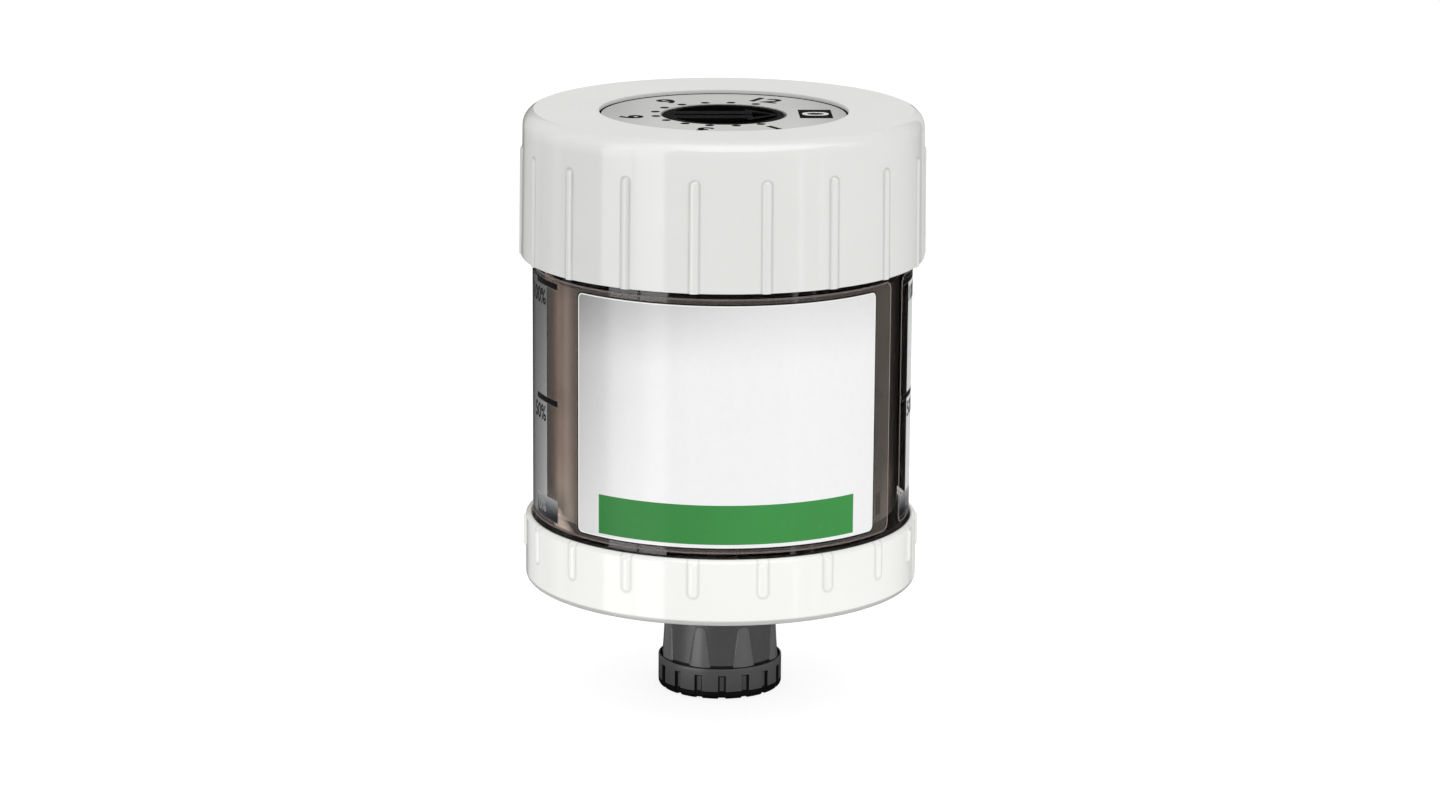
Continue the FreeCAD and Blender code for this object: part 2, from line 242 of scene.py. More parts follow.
def text_layout(body, height, bold=0.0, wide=1.0):
    """Triangles of a plain printed text, its figures this high in mm, lower left
    corner at the origin. Returns points, faces and the width."""
    def raw(s, bold=bold):
        if (s, bold) in _glyph_cache:
            return _glyph_cache[(s, bold)]
        cu = bpy.data.curves.new("print_text", "FONT")
        cu.body = s
        cu.size = 1.0
        cu.resolution_u = 6
        cu.offset = bold
        ob = bpy.data.objects.new("print_text", cu)
        bpy.context.scene.collection.objects.link(ob)
        bpy.context.view_layer.update()
        dg = bpy.context.evaluated_depsgraph_get()
        me = bpy.data.meshes.new_from_object(ob.evaluated_get(dg))
        bm = bmesh.new()
        bm.from_mesh(me)
        bmesh.ops.remove_doubles(bm, verts=bm.verts, dist=1e-5)
        bmesh.ops.triangulate(bm, faces=bm.faces)
        bm.verts.ensure_lookup_table()
        pts = [(v.co.x, v.co.y) for v in bm.verts]
        faces = []
        for f in bm.faces:
            idx = [v.index for v in f.verts]
            a, b, c = (pts[i] for i in idx)
            area = (b[0] - a[0]) * (c[1] - a[1]) - (c[0] - a[0]) * (b[1] - a[1])
            faces.append(tuple(idx) if area > 0 else tuple(reversed(idx)))
        bm.free()
        bpy.data.meshes.remove(me)
        bpy.data.objects.remove(ob)
        bpy.data.curves.remove(cu)
        _glyph_cache[(s, bold)] = (pts, faces)
        return pts, faces

    ref, _ = raw("1")
    y0 = min(p[1] for p in ref)
    h = max(p[1] for p in ref) - y0
    pts, faces = raw(body)
    x0 = min(p[0] for p in pts)
    k = height / h
    pts = [((p[0] - x0) * k * wide, (p[1] - y0) * k) for p in pts]
    return pts, faces, max(p[0] for p in pts)


def cad_copy(node, name, bevel=0.0, sharp=30.0, flat=0.6):
    """A clean copy of a CAD node's mesh, with small rounded edges added."""
    src = NODES[node].data
    bm = bmesh.new()
    bm.from_mesh(src)
    bmesh.ops.remove_doubles(bm, verts=bm.verts, dist=2e-6)
    if flat:
        bmesh.ops.dissolve_limit(bm, angle_limit=flat * RAD, verts=bm.verts,
                                 edges=bm.edges, use_dissolve_boundaries=False)
    me = bpy.data.meshes.new(name)
    bm.to_mesh(me)
    bm.free()
    me.polygons.foreach_set("use_smooth", [True] * len(me.polygons))
    me.set_sharp_from_angle(angle=sharp * RAD)
    ob = bpy.data.objects.new(name, me)
    bpy.context.scene.collection.objects.link(ob)
    if bevel:
        b = ob.modifiers.new("edge_round", "BEVEL")
        b.limit_method = "ANGLE"
        b.angle_limit = 32 * RAD
        b.width = bevel * MM
        b.segments = 2
        b.use_clamp_overlap = True
        b.harden_normals = False
        b.miter_outer = "MITER_ARC"
    weighted(ob)
    return ob


# ---------------------------------------------------------------------------
# material helpers
# ---------------------------------------------------------------------------
class Tree:
    def __init__(self, name):
        self.mat = bpy.data.materials.new(name)
        self.mat.use_nodes = True
        self.nt = self.mat.node_tree
        self.nt.nodes.clear()
        self.out = self.add("ShaderNodeOutputMaterial")
        self.bsdf = self.add("ShaderNodeBsdfPrincipled")
        self.nt.links.new(self.bsdf.outputs[0], self.out.inputs[0])
        self.coord = self.add("ShaderNodeTexCoord")

    def add(self, kind, **props):
        n = self.nt.nodes.new(kind)
        for k, v in props.items():
            setattr(n, k, v)
        return n

    def wire(self, a, b):
        self.nt.links.new(a, b)

    def noise(self, scale, detail=3.0, rough=0.55, stretch=None, distortion=0.0):
        src = self.coord.outputs["Object"]
        if stretch:
            mp = self.add("ShaderNodeMapping")
            mp.inputs["Scale"].default_value = stretch
            self.wire(src, mp.inputs["Vector"])
            src = mp.outputs["Vector"]
        n = self.add("ShaderNodeTexNoise")
        n.inputs["Scale"].default_value = scale
        n.inputs["Detail"].default_value = detail
        n.inputs["Roughness"].default_value = rough
        n.inputs["Distortion"].default_value = distortion
        self.wire(src, n.inputs["Vector"])
        return n.outputs["Fac"]

    def remap(self, v, a0, a1, b0, b1, smooth=False):
        n = self.add("ShaderNodeMapRange")
        if smooth:
            n.interpolation_type = "SMOOTHSTEP"
        n.inputs["From Min"].default_value = a0
        n.inputs["From Max"].default_value = a1
        n.inputs["To Min"].default_value = b0
        n.inputs["To Max"].default_value = b1
        self.wire(v, n.inputs["Value"])
        return n.outputs["Result"]

    def math(self, op, a, b=None, c=None):
        n = self.add("ShaderNodeMath", operation=op)
        for i, v in enumerate((a, b, c)):
            if v is None:
                continue
            if isinstance(v, (int, float)):
                n.inputs[i].default_value = v
            else:
                self.wire(v, n.inputs[i])
        return n.outputs[0]

    def mix(self, fac, a, b, blend="MIX"):
        n = self.add("ShaderNodeMix", data_type="RGBA", blend_type=blend)
        n.clamp_factor = True
        for sock, v in ((n.inputs[0], fac), (n.inputs[6], a), (n.inputs[7], b)):
            if isinstance(v, (int, float)):
                sock.default_value = v
            elif isinstance(v, (tuple, list)):
                sock.default_value = (*v, 1.0) if len(v) == 3 else v
            else:
                self.wire(v, sock)
        return n.outputs[2]

    def xyz(self):
        n = self.add("ShaderNodeSeparateXYZ")
        self.wire(self.coord.outputs["Object"], n.inputs[0])
        return n.outputs[0], n.outputs[1], n.outputs[2]

    def scaled(self, colour, value):
        """colour times a grey value."""
        n = self.add("ShaderNodeVectorMath", operation="SCALE")
        if isinstance(colour, (tuple, list)):
            n.inputs[0].default_value = colour[:3]
        else:
            self.wire(colour, n.inputs[0])
        self.wire(value, n.inputs["Scale"])
        return n.outputs[0]

    def base(self, v):
        self.put("Base Color", v)

    def put(self, name, v):
        s = self.bsdf.inputs[name]
        if isinstance(v, (int, float)):
            s.default_value = v
        elif isinstance(v, (tuple, list)):
            s.default_value = (*v, 1.0) if len(v) == 3 else v
        else:
            self.wire(v, s)

    def bump(self, height, strength, distance):
        n = self.add("ShaderNodeBump")
        n.inputs["Strength"].default_value = strength
        n.inputs["Distance"].default_value = distance
        self.wire(height, n.inputs["Height"])
        prev = self.bsdf.inputs["Normal"]
        if prev.is_linked:
            self.wire(prev.links[0].from_socket, n.inputs["Normal"])
        self.wire(n.outputs[0], prev)


def plastic(name, colour, rough, cloud=0.02, grain=2600.0, grain_depth=0.004,
            rough_span=0.05, spec=0.5, tone=None, ior=1.5, coat=0.0, coat_rough=0.08):
    """Moulded plastic: faint clouding of the colour, a fine moulded grain in the
    relief, and roughness that varies a little over the surface."""
    t = Tree(name)
    c2 = tone or tuple(min(1.0, c * (1 + cloud) + 0.002) for c in colour)
    c1 = tuple(c * (1 - cloud) for c in colour)
    big = t.noise(55.0, 4.0, 0.6)
    col = t.mix(t.remap(big, 0.34, 0.66, 0.0, 1.0), c1, c2)
    fine = t.noise(grain, 2.0, 0.5)
    col = t.scaled(col, t.remap(fine, 0.3, 0.7, 1 - cloud * 0.35, 1 + cloud * 0.35))
    t.base(col)
    mid = t.noise(420.0, 3.0, 0.6)
    t.put("Roughness", t.remap(mid, 0.32, 0.68, rough - rough_span / 2, rough + rough_span / 2))
    t.put("IOR", ior)
    t.put("Specular IOR Level", spec)
    if coat:
        t.put("Coat Weight", coat)
        t.put("Coat Roughness", coat_rough)
    t.bump(fine, 0.35, grain_depth * MM)
    t.bump(t.noise(260.0, 2.0, 0.5), 0.25, 0.012 * MM)
    return t


def metal(name, colour, rough, stretch=(1, 1, 1), scale=1800.0):
    t = Tree(name)
    n = t.noise(scale, 4.0, 0.65, stretch=stretch)
    c1 = tuple(c * 0.86 for c in colour)
    t.base(t.mix(t.remap(n, 0.3, 0.7, 0, 1), c1, colour))
    t.put("Metallic", 1.0)
    t.put("Roughness", t.remap(n, 0.3, 0.7, rough - 0.06, rough + 0.08))
    t.bump(n, 0.3, 0.006 * MM)
    return t


# ---------------------------------------------------------------------------
# materials
# ---------------------------------------------------------------------------
def shade_by(t, factor):
    """Multiply what feeds the base colour by a grey value."""
    t.base(t.scaled(t.bsdf.inputs["Base Color"].links[0].from_socket, factor))


def rib_crease(t, radius, centre, half, depth, z_end, upwards):
    """Painted shade: a soft darkening where the 18 ribs meet the wall, round their ends too."""
    x, y, z = t.xyz()
    deg = t.math("MULTIPLY", t.math("ARCTAN2", y, x), 57.29578)
    off = t.math("ABSOLUTE", t.math("WRAP", t.math("ADD", deg, 80.0), 10.0, -10.0))
    along = t.math("MULTIPLY", off, radius * RAD)
    past = t.math("SUBTRACT", z, z_end * MM) if upwards else t.math("SUBTRACT", z_end * MM, z)
    past = t.math("MAXIMUM", t.math("MULTIPLY", past, 1000.0), 0.0)
    d = t.math("SQRT", t.math("ADD", t.math("MULTIPLY", along, along),
                              t.math("MULTIPLY", past, past)))
    crease_shade = t.remap(t.math("ABSOLUTE", t.math("SUBTRACT", d, centre)), 0.0, half, 1.0, 0.0,
                   smooth=True)
    shade_by(t, t.math("SUBTRACT", 1.0, t.math("MULTIPLY", crease_shade, depth)))


def shell_plastic(name, spec):
    t = plastic(name, (0.775, 0.777, 0.757), 0.105, cloud=0.010, grain_depth=0.0015,
                rough_span=0.03, spec=spec)
    x, y, z = t.xyz()
    if spec > 0.1:
        # painted shade: the cap's wall darker towards its left side, below the fillet
        left = t.math("MULTIPLY", t.remap(x, -0.020, -0.010, 1.0, 0.0),
                      t.remap(z, 0.0985, 0.1005, 1.0, 0.0))
        shade_by(t, t.math("SUBTRACT", 1.0, t.math("MULTIPLY", left, 0.095)))
    else:
        # painted shade: a darker copy of the same white, for the top, the fillet's upper edge and the
        # lip
        shade_by(t, t.remap(t.noise(30.0, 2.0), 0.3, 0.7, 0.914, 0.920))
    return t


t_shell = shell_plastic("shell_white", 0.5)
# painted shade along the cap ribs' creases
rib_crease(t_shell, 34.45, 0.86, 0.36, 0.20, 95.0, True)
m_shell = t_shell.mat
m_shell_top_shaded = shell_plastic("shell_white_top_shaded", 0.0).mat
# painted light: a lighter white than the cap's, for the light the ring gets from below
t_ring = plastic("ring_white_lit", (0.945, 0.947, 0.920), 0.105, cloud=0.008, grain_depth=0.0015,
                 rough_span=0.03)
# painted shade along the ring ribs' creases
rib_crease(t_ring, 33.99, 0.98, 0.36, 0.16, 25.8, False)
# painted shade: the ring's rounded underside darker
shade_by(t_ring, t_ring.remap(t_ring.xyz()[2], 0.02080, 0.02110, 0.57, 1.0))
m_ring = t_ring.mat
t_dial = plastic("dial_grey", (0.535, 0.538, 0.524), 0.36, cloud=0.012, grain_depth=0.004,
                 spec=0.0)
dial_x, dial_y, dial_z = t_dial.xyz()
# painted shade: the dial darker towards its left and right ends, and lighter in front than behind
shade_by(t_dial, t_dial.remap(t_dial.math("ABSOLUTE", dial_x), 0.011, 0.020, 1.0, 0.85,
                              smooth=True))
shade_by(t_dial, t_dial.remap(dial_y, -0.014, 0.012, 1.04, 0.97, smooth=True))
m_dial = t_dial.mat
m_knob = plastic("knob_gloss_black", (0.0075, 0.0075, 0.0078), 0.11, cloud=0.2, grain_depth=0.002,
                 rough_span=0.05).mat
# painted shade: a darker copy of the knob's black for its pocket and low faces
m_knob_pocket_shade = plastic("knob_pocket_painted_shade", (0.0012, 0.0012, 0.0013), 0.40, cloud=0.2,
                     grain_depth=0.002, spec=0.05).mat
m_closure = plastic("closure_satin_grey", (0.115, 0.115, 0.1155), 0.33, cloud=0.06, grain=3400.0,
                    grain_depth=0.006, rough_span=0.06).mat
# painted light: a lighter copy of the closure's satin grey for the notched ring wall
m_closure_ring_lit = plastic("closure_ring_painted_light", (0.138, 0.138, 0.1385), 0.33, cloud=0.06,
                         grain=3400.0, grain_depth=0.006, rough_span=0.06).mat
# painted light: a lighter copy of the satin grey for the eight ribs
m_closure_rib_lit = plastic("closure_rib_painted_light", (0.185, 0.185, 0.1855), 0.34, cloud=0.05,
                        grain=3400.0, grain_depth=0.006, rough_span=0.06).mat
# painted shade: near black for the groove, the notches' sides and tops and the neck low between the
# ribs
m_closure_shade = plastic("closure_recess_painted_shade", (0.016, 0.016, 0.0165), 0.55, cloud=0.10,
                          grain_depth=0.006, spec=0.15).mat
# painted shade: a near-black copy of the closure's grey for its rounded foot
m_closure_foot_shade = plastic("closure_foot_painted_shade", (0.009, 0.009, 0.0095), 0.48, cloud=0.10,
                         grain=3400.0, grain_depth=0.006, spec=0.12).mat
m_rubber = plastic("seal_rubber_black", (0.018, 0.018, 0.018), 0.62, cloud=0.12,
                   grain_depth=0.010).mat
m_piston = plastic("piston_black", (0.012, 0.011, 0.011), 0.42, cloud=0.12,
                   grain_depth=0.006).mat
m_carrier = plastic("carrier_grey", (0.16, 0.165, 0.17), 0.48, cloud=0.05,
                    grain_depth=0.008).mat
m_membrane = plastic("membrane_white", (0.86, 0.86, 0.84), 0.85, cloud=0.04, grain=5200.0,
                     grain_depth=0.02).mat
m_resistor = plastic("resistor_ceramic", (0.028, 0.028, 0.032), 0.35, cloud=0.1,
                     grain_depth=0.004).mat
m_steel = metal("cell_nickel", (0.62, 0.62, 0.61), 0.28, stretch=(1, 1, 8)).mat
m_spring = metal("clip_spring_steel", (0.50, 0.50, 0.49), 0.32, stretch=(6, 1, 1)).mat
m_bronze = metal("contact_bronze", (0.80, 0.52, 0.25), 0.28, stretch=(1, 6, 1)).mat


def board_material():
    """Lacquered laminate: weave under the lacquer and a pale copper track pattern."""
    t = Tree("board_green")
    x, y, z = t.xyz()
    weave = t.math("MULTIPLY", t.math("SINE", t.math("MULTIPLY", x, 6200.0)),
                   t.math("SINE", t.math("MULTIPLY", y, 6200.0)))
    col = t.mix(t.remap(weave, -1, 1, 0, 1), (0.010, 0.090, 0.035), (0.016, 0.120, 0.050))
    rr = t.math("SQRT", t.math("ADD", t.math("MULTIPLY", x, x), t.math("MULTIPLY", y, y)))
    ring1 = t.math("LESS_THAN", t.math("ABSOLUTE", t.math("SUBTRACT", rr, 0.0134)), 0.0009)
    ring2 = t.math("LESS_THAN", t.math("ABSOLUTE", t.math("SUBTRACT", rr, 0.0084)), 0.0008)
    col = t.mix(t.math("MAXIMUM", ring1, ring2), col, (0.62, 0.47, 0.20))
    t.base(col)
    t.put("Roughness", t.remap(t.noise(900.0), 0.3, 0.7, 0.20, 0.32))
    t.bump(weave, 0.2, 0.01 * MM)
    return t.mat


def grease_material():
    """Brown grease, streaked and slightly translucent looking, with light and shade
    painted in: paler on the left and low down, darker beside the label and to the right."""
    t = Tree("grease_brown")
    x, y, z = t.xyz()
    streak = t.noise(190.0, 5.0, 0.6, stretch=(1.0, 1.0, 0.18), distortion=0.6)
    fine = t.noise(1500.0, 3.0, 0.6)
    # painted light: pale colour on the left, shaded colour on the right
    side = t.remap(x, -0.024, 0.024, 0.0, 1.0, smooth=True)
    pale = t.mix(t.remap(streak, 0.3, 0.7, 0, 1), (0.50, 0.33, 0.25), (0.62, 0.435, 0.35))
    shaded_grease = t.mix(t.remap(streak, 0.3, 0.7, 0, 1), (0.150, 0.128, 0.098), (0.215, 0.188, 0.150))
    col = t.mix(side, pale, shaded_grease)
    # painted light: paler and warmer low down
    low = t.remap(z, 0.0332, 0.0450, 1.0, 0.0, smooth=True)
    col = t.mix(t.math("MULTIPLY", low, 0.7), col, (0.95, 0.80, 0.64))
    col = t.scaled(col, t.remap(fine, 0.3, 0.7, 0.95, 1.05))
    # painted light and shade: paler towards the left edge, a lighter strip, darker beside the label,
    # dark far right
    col = t.scaled(col, t.remap(x, -0.0296, -0.0276, 2.35, 0.78))
    col = t.scaled(col, t.remap(x, -0.0275, -0.0270, 1.0, 1.22))
    col = t.scaled(col, t.remap(x, -0.0269, -0.0254, 1.0, 0.34))
    # painted light: brighter low down
    col = t.scaled(col, t.remap(z, 0.038, 0.062, 1.28, 1.0))
    # a painted spot of light low on the left
    spot = t.math("MULTIPLY", t.remap(z, 0.0340, 0.0385, 1.0, 0.0, smooth=True),
                  t.remap(x, -0.0262, -0.0250, 1.0, 0.0, smooth=True))
    col = t.scaled(col, t.remap(spot, 0.0, 1.0, 1.0, 1.9))
    # painted shade and light on the right: darker, a lighter band, then dark at the far right
    col = t.scaled(col, t.remap(x, 0.0240, 0.0262, 1.0, 0.74))
    col = t.scaled(col, t.remap(x, 0.0266, 0.0280, 1.0, 1.85))
    col = t.scaled(col, t.remap(x, 0.0288, 0.0297, 1.0, 0.12))
    t.base(col)
    t.put("Roughness", t.remap(streak, 0.3, 0.7, 0.30, 0.50))
    t.bump(streak, 0.4, 0.10 * MM)
    t.bump(fine, 0.2, 0.02 * MM)
    return t.mat


def clear_material(name, colour, alpha, rough, ior, wobble=0.02, dim=None, clearer=None,
                   foot=False):
    """dim: x range in metres over which the colour falls off, a painted shade. clearer: the alpha
    towards the left edge. foot: with a painted patch of light at the wall's foot."""
    t = Tree(name)
    n = t.noise(120.0, 3.0, 0.5)
    c1 = tuple(c * 0.9 for c in colour)
    t.base(t.mix(t.remap(n, 0.3, 0.7, 0, 1), c1, colour))
    x, y, z = t.xyz()
    # painted shade: the colour falls off over the dim range of x
    if dim:
        shade_by(t, t.remap(x, dim[0], dim[1], 1.0, 0.12))
    t.put("Roughness", t.remap(t.noise(600.0), 0.3, 0.7, rough, rough + 0.03))
    t.put("IOR", ior)
    if clearer is None:
        t.put("Alpha", alpha)
    else:
        t.put("Alpha", t.remap(x, -0.0305, -0.0262, clearer, alpha))
    if foot:
        # a painted patch of light at the wall's foot
        foot_light(t, alpha)
    t.bump(n, 0.15, wobble * MM)
    return t.mat


def foot_light(t, alpha):
    """A painted patch of light in the foot of the clear wall, low on the left of the front."""
    x, y, z = t.xyz()
    lean = t.math("ADD", x, t.math("MULTIPLY", t.math("SUBTRACT", z, 0.0331), 0.67))
    s = t.math("MULTIPLY", t.remap(z, 0.0325, 0.0330, 0.0, 1.0, smooth=True),
               t.remap(z, 0.0332, 0.0395, 1.0, 0.0))
    s = t.math("MULTIPLY", s, t.remap(x, -0.0293, -0.0284, 0.0, 1.0, smooth=True))
    s = t.math("MULTIPLY", s, t.remap(lean, -0.0275, -0.0256, 1.0, 0.0, smooth=True))
    s = t.math("MULTIPLY", s, t.remap(y, -0.002, 0.002, 1.0, 0.0))
    old = t.bsdf.inputs["Base Color"].links[0].from_socket
    t.base(t.mix(t.remap(s, 0.0, 0.16, 0.0, 1.0), old, (0.82, 0.685, 0.575)))
    t.put("Alpha", t.math("ADD", alpha, t.math("MULTIPLY", s, 0.36)))


m_board = board_material()
m_grease = grease_material()
m_tank = clear_material("canister_smoke_clear", (0.020, 0.016, 0.013), 0.30, 0.035, 2.45,
                        wobble=0.005, clearer=0.03)
m_tank_in = clear_material("canister_inner_face", (0.030, 0.024, 0.020), 0.10, 0.08, 1.5)
# the film: painted shade on its right, a painted patch of light at its foot
m_film = clear_material("film_clear", (0.46, 0.41, 0.37), 0.085, 0.10, 1.5, wobble=0.004,
                        dim=(0.0276, 0.0296), foot=True)
m_film_edge = clear_material("film_cut_edge", (0.40, 0.325, 0.315), 0.62, 0.25, 1.5)
m_film_rim = clear_material("film_cut_rim", (0.40, 0.325, 0.315), 0.27, 0.25, 1.5)
m_rim = clear_material("mark_rim", (0.42, 0.36, 0.31), 0.45, 0.25, 1.5)
m_line = clear_material("label_shadow", (0.020, 0.016, 0.014), 0.55, 0.45, 1.5)
# painted shade: faint dark images of the level marks
m_mark_shade = clear_material("painted_mark_shade", (0.035, 0.028, 0.025), 0.40, 0.45, 1.5)


def print_white():
    """The label's satin white print, with shade painted in: grey in its upper left
    and along its top, running out to white."""
    t = Tree("print_white")
    x, y, z = t.xyz()
    # painted shade: greyer towards the top and towards the left
    up = t.remap(z, 0.0625, 0.0752, 0.0, 1.0, smooth=True)
    left = t.math("POWER", t.remap(x, -0.0060, -0.0258, 0.0, 1.0), 1.5)
    down_amount = t.remap(z, 0.036, 0.074, 0.24, 0.54)
    shade = t.math("SUBTRACT", 1.0, t.math("MULTIPLY", left, down_amount))
    up_amount = t.remap(x, -0.020, 0.008, 0.30, 0.12, smooth=True)
    shade = t.math("MULTIPLY", shade, t.math("SUBTRACT", 1.0, t.math("MULTIPLY", up, up_amount)))
    n = t.noise(900.0, 3.0, 0.6)
    shade = t.math("MULTIPLY", shade, t.remap(n, 0.3, 0.7, 0.990, 1.010))
    t.base(t.scaled((0.915, 0.915, 0.920), shade))
    t.put("Roughness", t.remap(t.noise(300.0), 0.3, 0.7, 0.16, 0.22))
    t.bump(t.noise(2400.0, 2.0), 0.2, 0.003 * MM)
    return t.mat


def print_silver():
    """The print on the back of the film: a slightly metallic white, with shade
    painted into its left end: grey, darker up high and at the very edge."""
    t = Tree("print_silver")
    x, y, z = t.xyz()
    # painted shade: grey at the left end, darker up high and at the very edge
    high = t.remap(z, 0.034, 0.0747, 0.0, 1.0)
    left = t.remap(x, -0.0315, -0.020, 1.0, 0.0, smooth=True)
    dark = t.mix(high, (0.42, 0.42, 0.42), (0.120, 0.120, 0.122))
    dark = t.scaled(dark, t.remap(x, -0.0325, -0.0302, 0.45, 1.15))
    col = t.mix(left, (0.90, 0.90, 0.90), dark)
    n = t.noise(1500.0, 3.0, 0.6, stretch=(1, 1, 0.4))
    col = t.scaled(col, t.remap(n, 0.3, 0.7, 0.99, 1.01))
    t.base(col)
    t.put("Metallic", 0.15)
    t.put("Roughness", t.remap(t.noise(300.0), 0.3, 0.7, 0.24, 0.28))
    t.bump(t.noise(2400.0, 2.0), 0.1, 0.001 * MM)
    return t.mat


def print_block():
    """The block beside the 0 mark: silver at its top, black at its foot."""
    t = Tree("print_block")
    x, y, z = t.xyz()
    f = t.remap(z, 0.0338, 0.0372, 0.0, 1.0)
    col = t.mix(t.math("POWER", f, 1.6), (0.012, 0.016, 0.021), (0.36, 0.37, 0.37))
    n = t.noise(1500.0, 3.0)
    t.base(t.scaled(col, t.remap(n, 0.3, 0.7, 0.96, 1.04)))
    t.put("Roughness", t.remap(n, 0.3, 0.7, 0.26, 0.34))
    return t.mat


m_white = print_white()
m_back_print_shade = print_silver()
m_block = print_block()
t_green = plastic("print_green", (0.056, 0.290, 0.072), 0.26, cloud=0.02, grain_depth=0.001,
                  spec=0.10)
# painted shade: the green band darker towards its left end
shade_by(t_green, t_green.remap(t_green.xyz()[0], -0.020, 0.004, 0.76, 1.0))
m_green = t_green.mat
m_ink = plastic("print_black", (0.006, 0.0065, 0.008), 0.42, cloud=0.10, grain_depth=0.003,
                spec=0.04).mat
# painted shade: near black with no shine, for the ring in the dial's gap
m_gap_shade = plastic("gap_painted_shade", (0.004, 0.004, 0.004), 0.60, cloud=0.10, grain_depth=0.003,
                 spec=0.0).mat
m_figure = plastic("print_pale_grey", (0.30, 0.30, 0.30), 0.36, cloud=0.04,
                   grain_depth=0.002).mat
m_ink_grey = plastic("print_dark_grey", (0.060, 0.062, 0.066), 0.36, cloud=0.08,
                     grain_depth=0.003).mat
m_edge_white = plastic("print_edge_white", (0.93, 0.93, 0.93), 0.22, cloud=0.01,
                       grain_depth=0.002).mat
m_dial_white = plastic("dial_print_white", (0.86, 0.86, 0.85), 0.32, cloud=0.02,
                       grain_depth=0.003).mat


def give(ob, *mats):
    ob.data.materials.clear()
    for m in mats:
        ob.data.materials.append(m)
    return ob


# ---------------------------------------------------------------------------
# top cap: turned shell with 18 round grip ribs
# ---------------------------------------------------------------------------
def rib_columns(count, first, dense_half, dense_n, coarse_n):
    pitch = 360.0 / count
    out = []
    for i in range(count):
        c = first + pitch * i
        for k in range(dense_n):
            out.append(c - dense_half + 2 * dense_half * k / (dense_n - 1))
        for k in range(1, coarse_n):
            out.append(c + dense_half + (pitch - 2 * dense_half) * k / coarse_n)
    return np.array(out)


def rib_height(theta, first, count, centre_r, radius, dz):
    """Outer radius of a rib of round section at these azimuths, far inside where
    there is none. dz is the distance past the centre of its round end."""
    pitch = 360.0 / count
    phi = (np.mod(theta - first + pitch / 2, pitch) - pitch / 2) * RAD
    s = radius ** 2 - dz ** 2 - (centre_r * np.sin(phi)) ** 2
    return np.where(s > 0, centre_r * np.cos(phi) + np.sqrt(np.maximum(s, 0)), 0.0)


def build_top_cap():
    edge, top, z0, zw, zt, fil = 34.71, 34.36, 77.06, 99.5, 102.5, 3.0
    c_low, c_high, z_end, rr = 35.0, 34.83, 95.0, 1.10
    rows = []  # (r, z, ribbed)

    def plain(points):
        rows.extend((r, z, False) for r, z in points)

    rows.append((edge - 0.25, z0, True))
    rows += [(r, z, True) for r, z in arc((edge - 0.25, z0), (edge, z0 + 0.25),
                                          (edge - 0.25, z0 + 0.25), 4)]
    zs = list(np.linspace(z0 + 1.0, 94.6, 10)) + list(np.linspace(94.8, 96.35, 24)) + [97.2, 98.6, zw]
    for z in zs:
        f = (z - z0) / (zw - z0)
        rows.append((edge + (top - edge) * f, z, True))
    plain(arc((top, zw), (top - fil, zt), (top - fil, zw), 16))
    plain([(30.4, zt), (28.0, zt), (26.6, zt), (25.9, zt - 0.012), (25.3, zt - 0.045),
           (24.6, zt - 0.11), (23.4, zt - 0.245), (22.2, zt - 0.382), (21.6, zt - 0.45)])
    plain(arc((21.6, zt - 0.45), (21.35, zt - 0.70), (21.6, zt - 0.70), 8))
    plain([(21.35, 101.4), (21.35, 100.08), (10.95, 100.08), (10.95, 97.4), (6.06, 97.4), (6.06, 94.6),
           (9.0, 94.6), (9.0, 95.8), (12.55, 95.8), (12.55, 98.48), (22.95, 98.48),
           (22.95, 100.7), (31.4, 100.7)])
    plain(arc((31.4, 100.7), (32.87, 99.23), (31.4, 99.23), 5))
    plain([(33.02, 86.7), (32.72, 86.3), (32.72, 85.8), (33.05, 85.2), (33.15, z0 + 0.3),
           (33.35, z0)])
    th = rib_columns(18, -80.0, 2.2, 31, 11)
    R = np.empty((len(rows), len(th)))
    Z = np.empty_like(R)
    for i, (r, z, ribbed) in enumerate(rows):
        R[i] = r
        Z[i] = z
        if ribbed and z < 96.4:
            f = (z - z0) / (z_end - z0)
            crest = c_low + (c_high - c_low) * min(max(f, 0.0), 1.0)
            rib = rib_height(th, -80.0, 18, crest - rr, rr, max(z - z_end, 0.0))
            R[i] = np.minimum(smax(R[i], rib, 0.03), 34.998)
    v, f = turned_grid(R, Z, th)
    ob = weighted(link("top_cap_shell", v, f, 24))
    give(ob, m_shell, m_shell_top_shaded)
    # painted shade: the top, the fillet's upper edge and the lip take the darker copy of the white
    for p in ob.data.polygons:
        r = math.hypot(p.center.x, p.center.y)
        if p.center.z > 0.10222 or (r < 0.031 and p.center.z > 0.0999):
            p.material_index = 1
    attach(ob, "canister")
    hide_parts("top_cap")


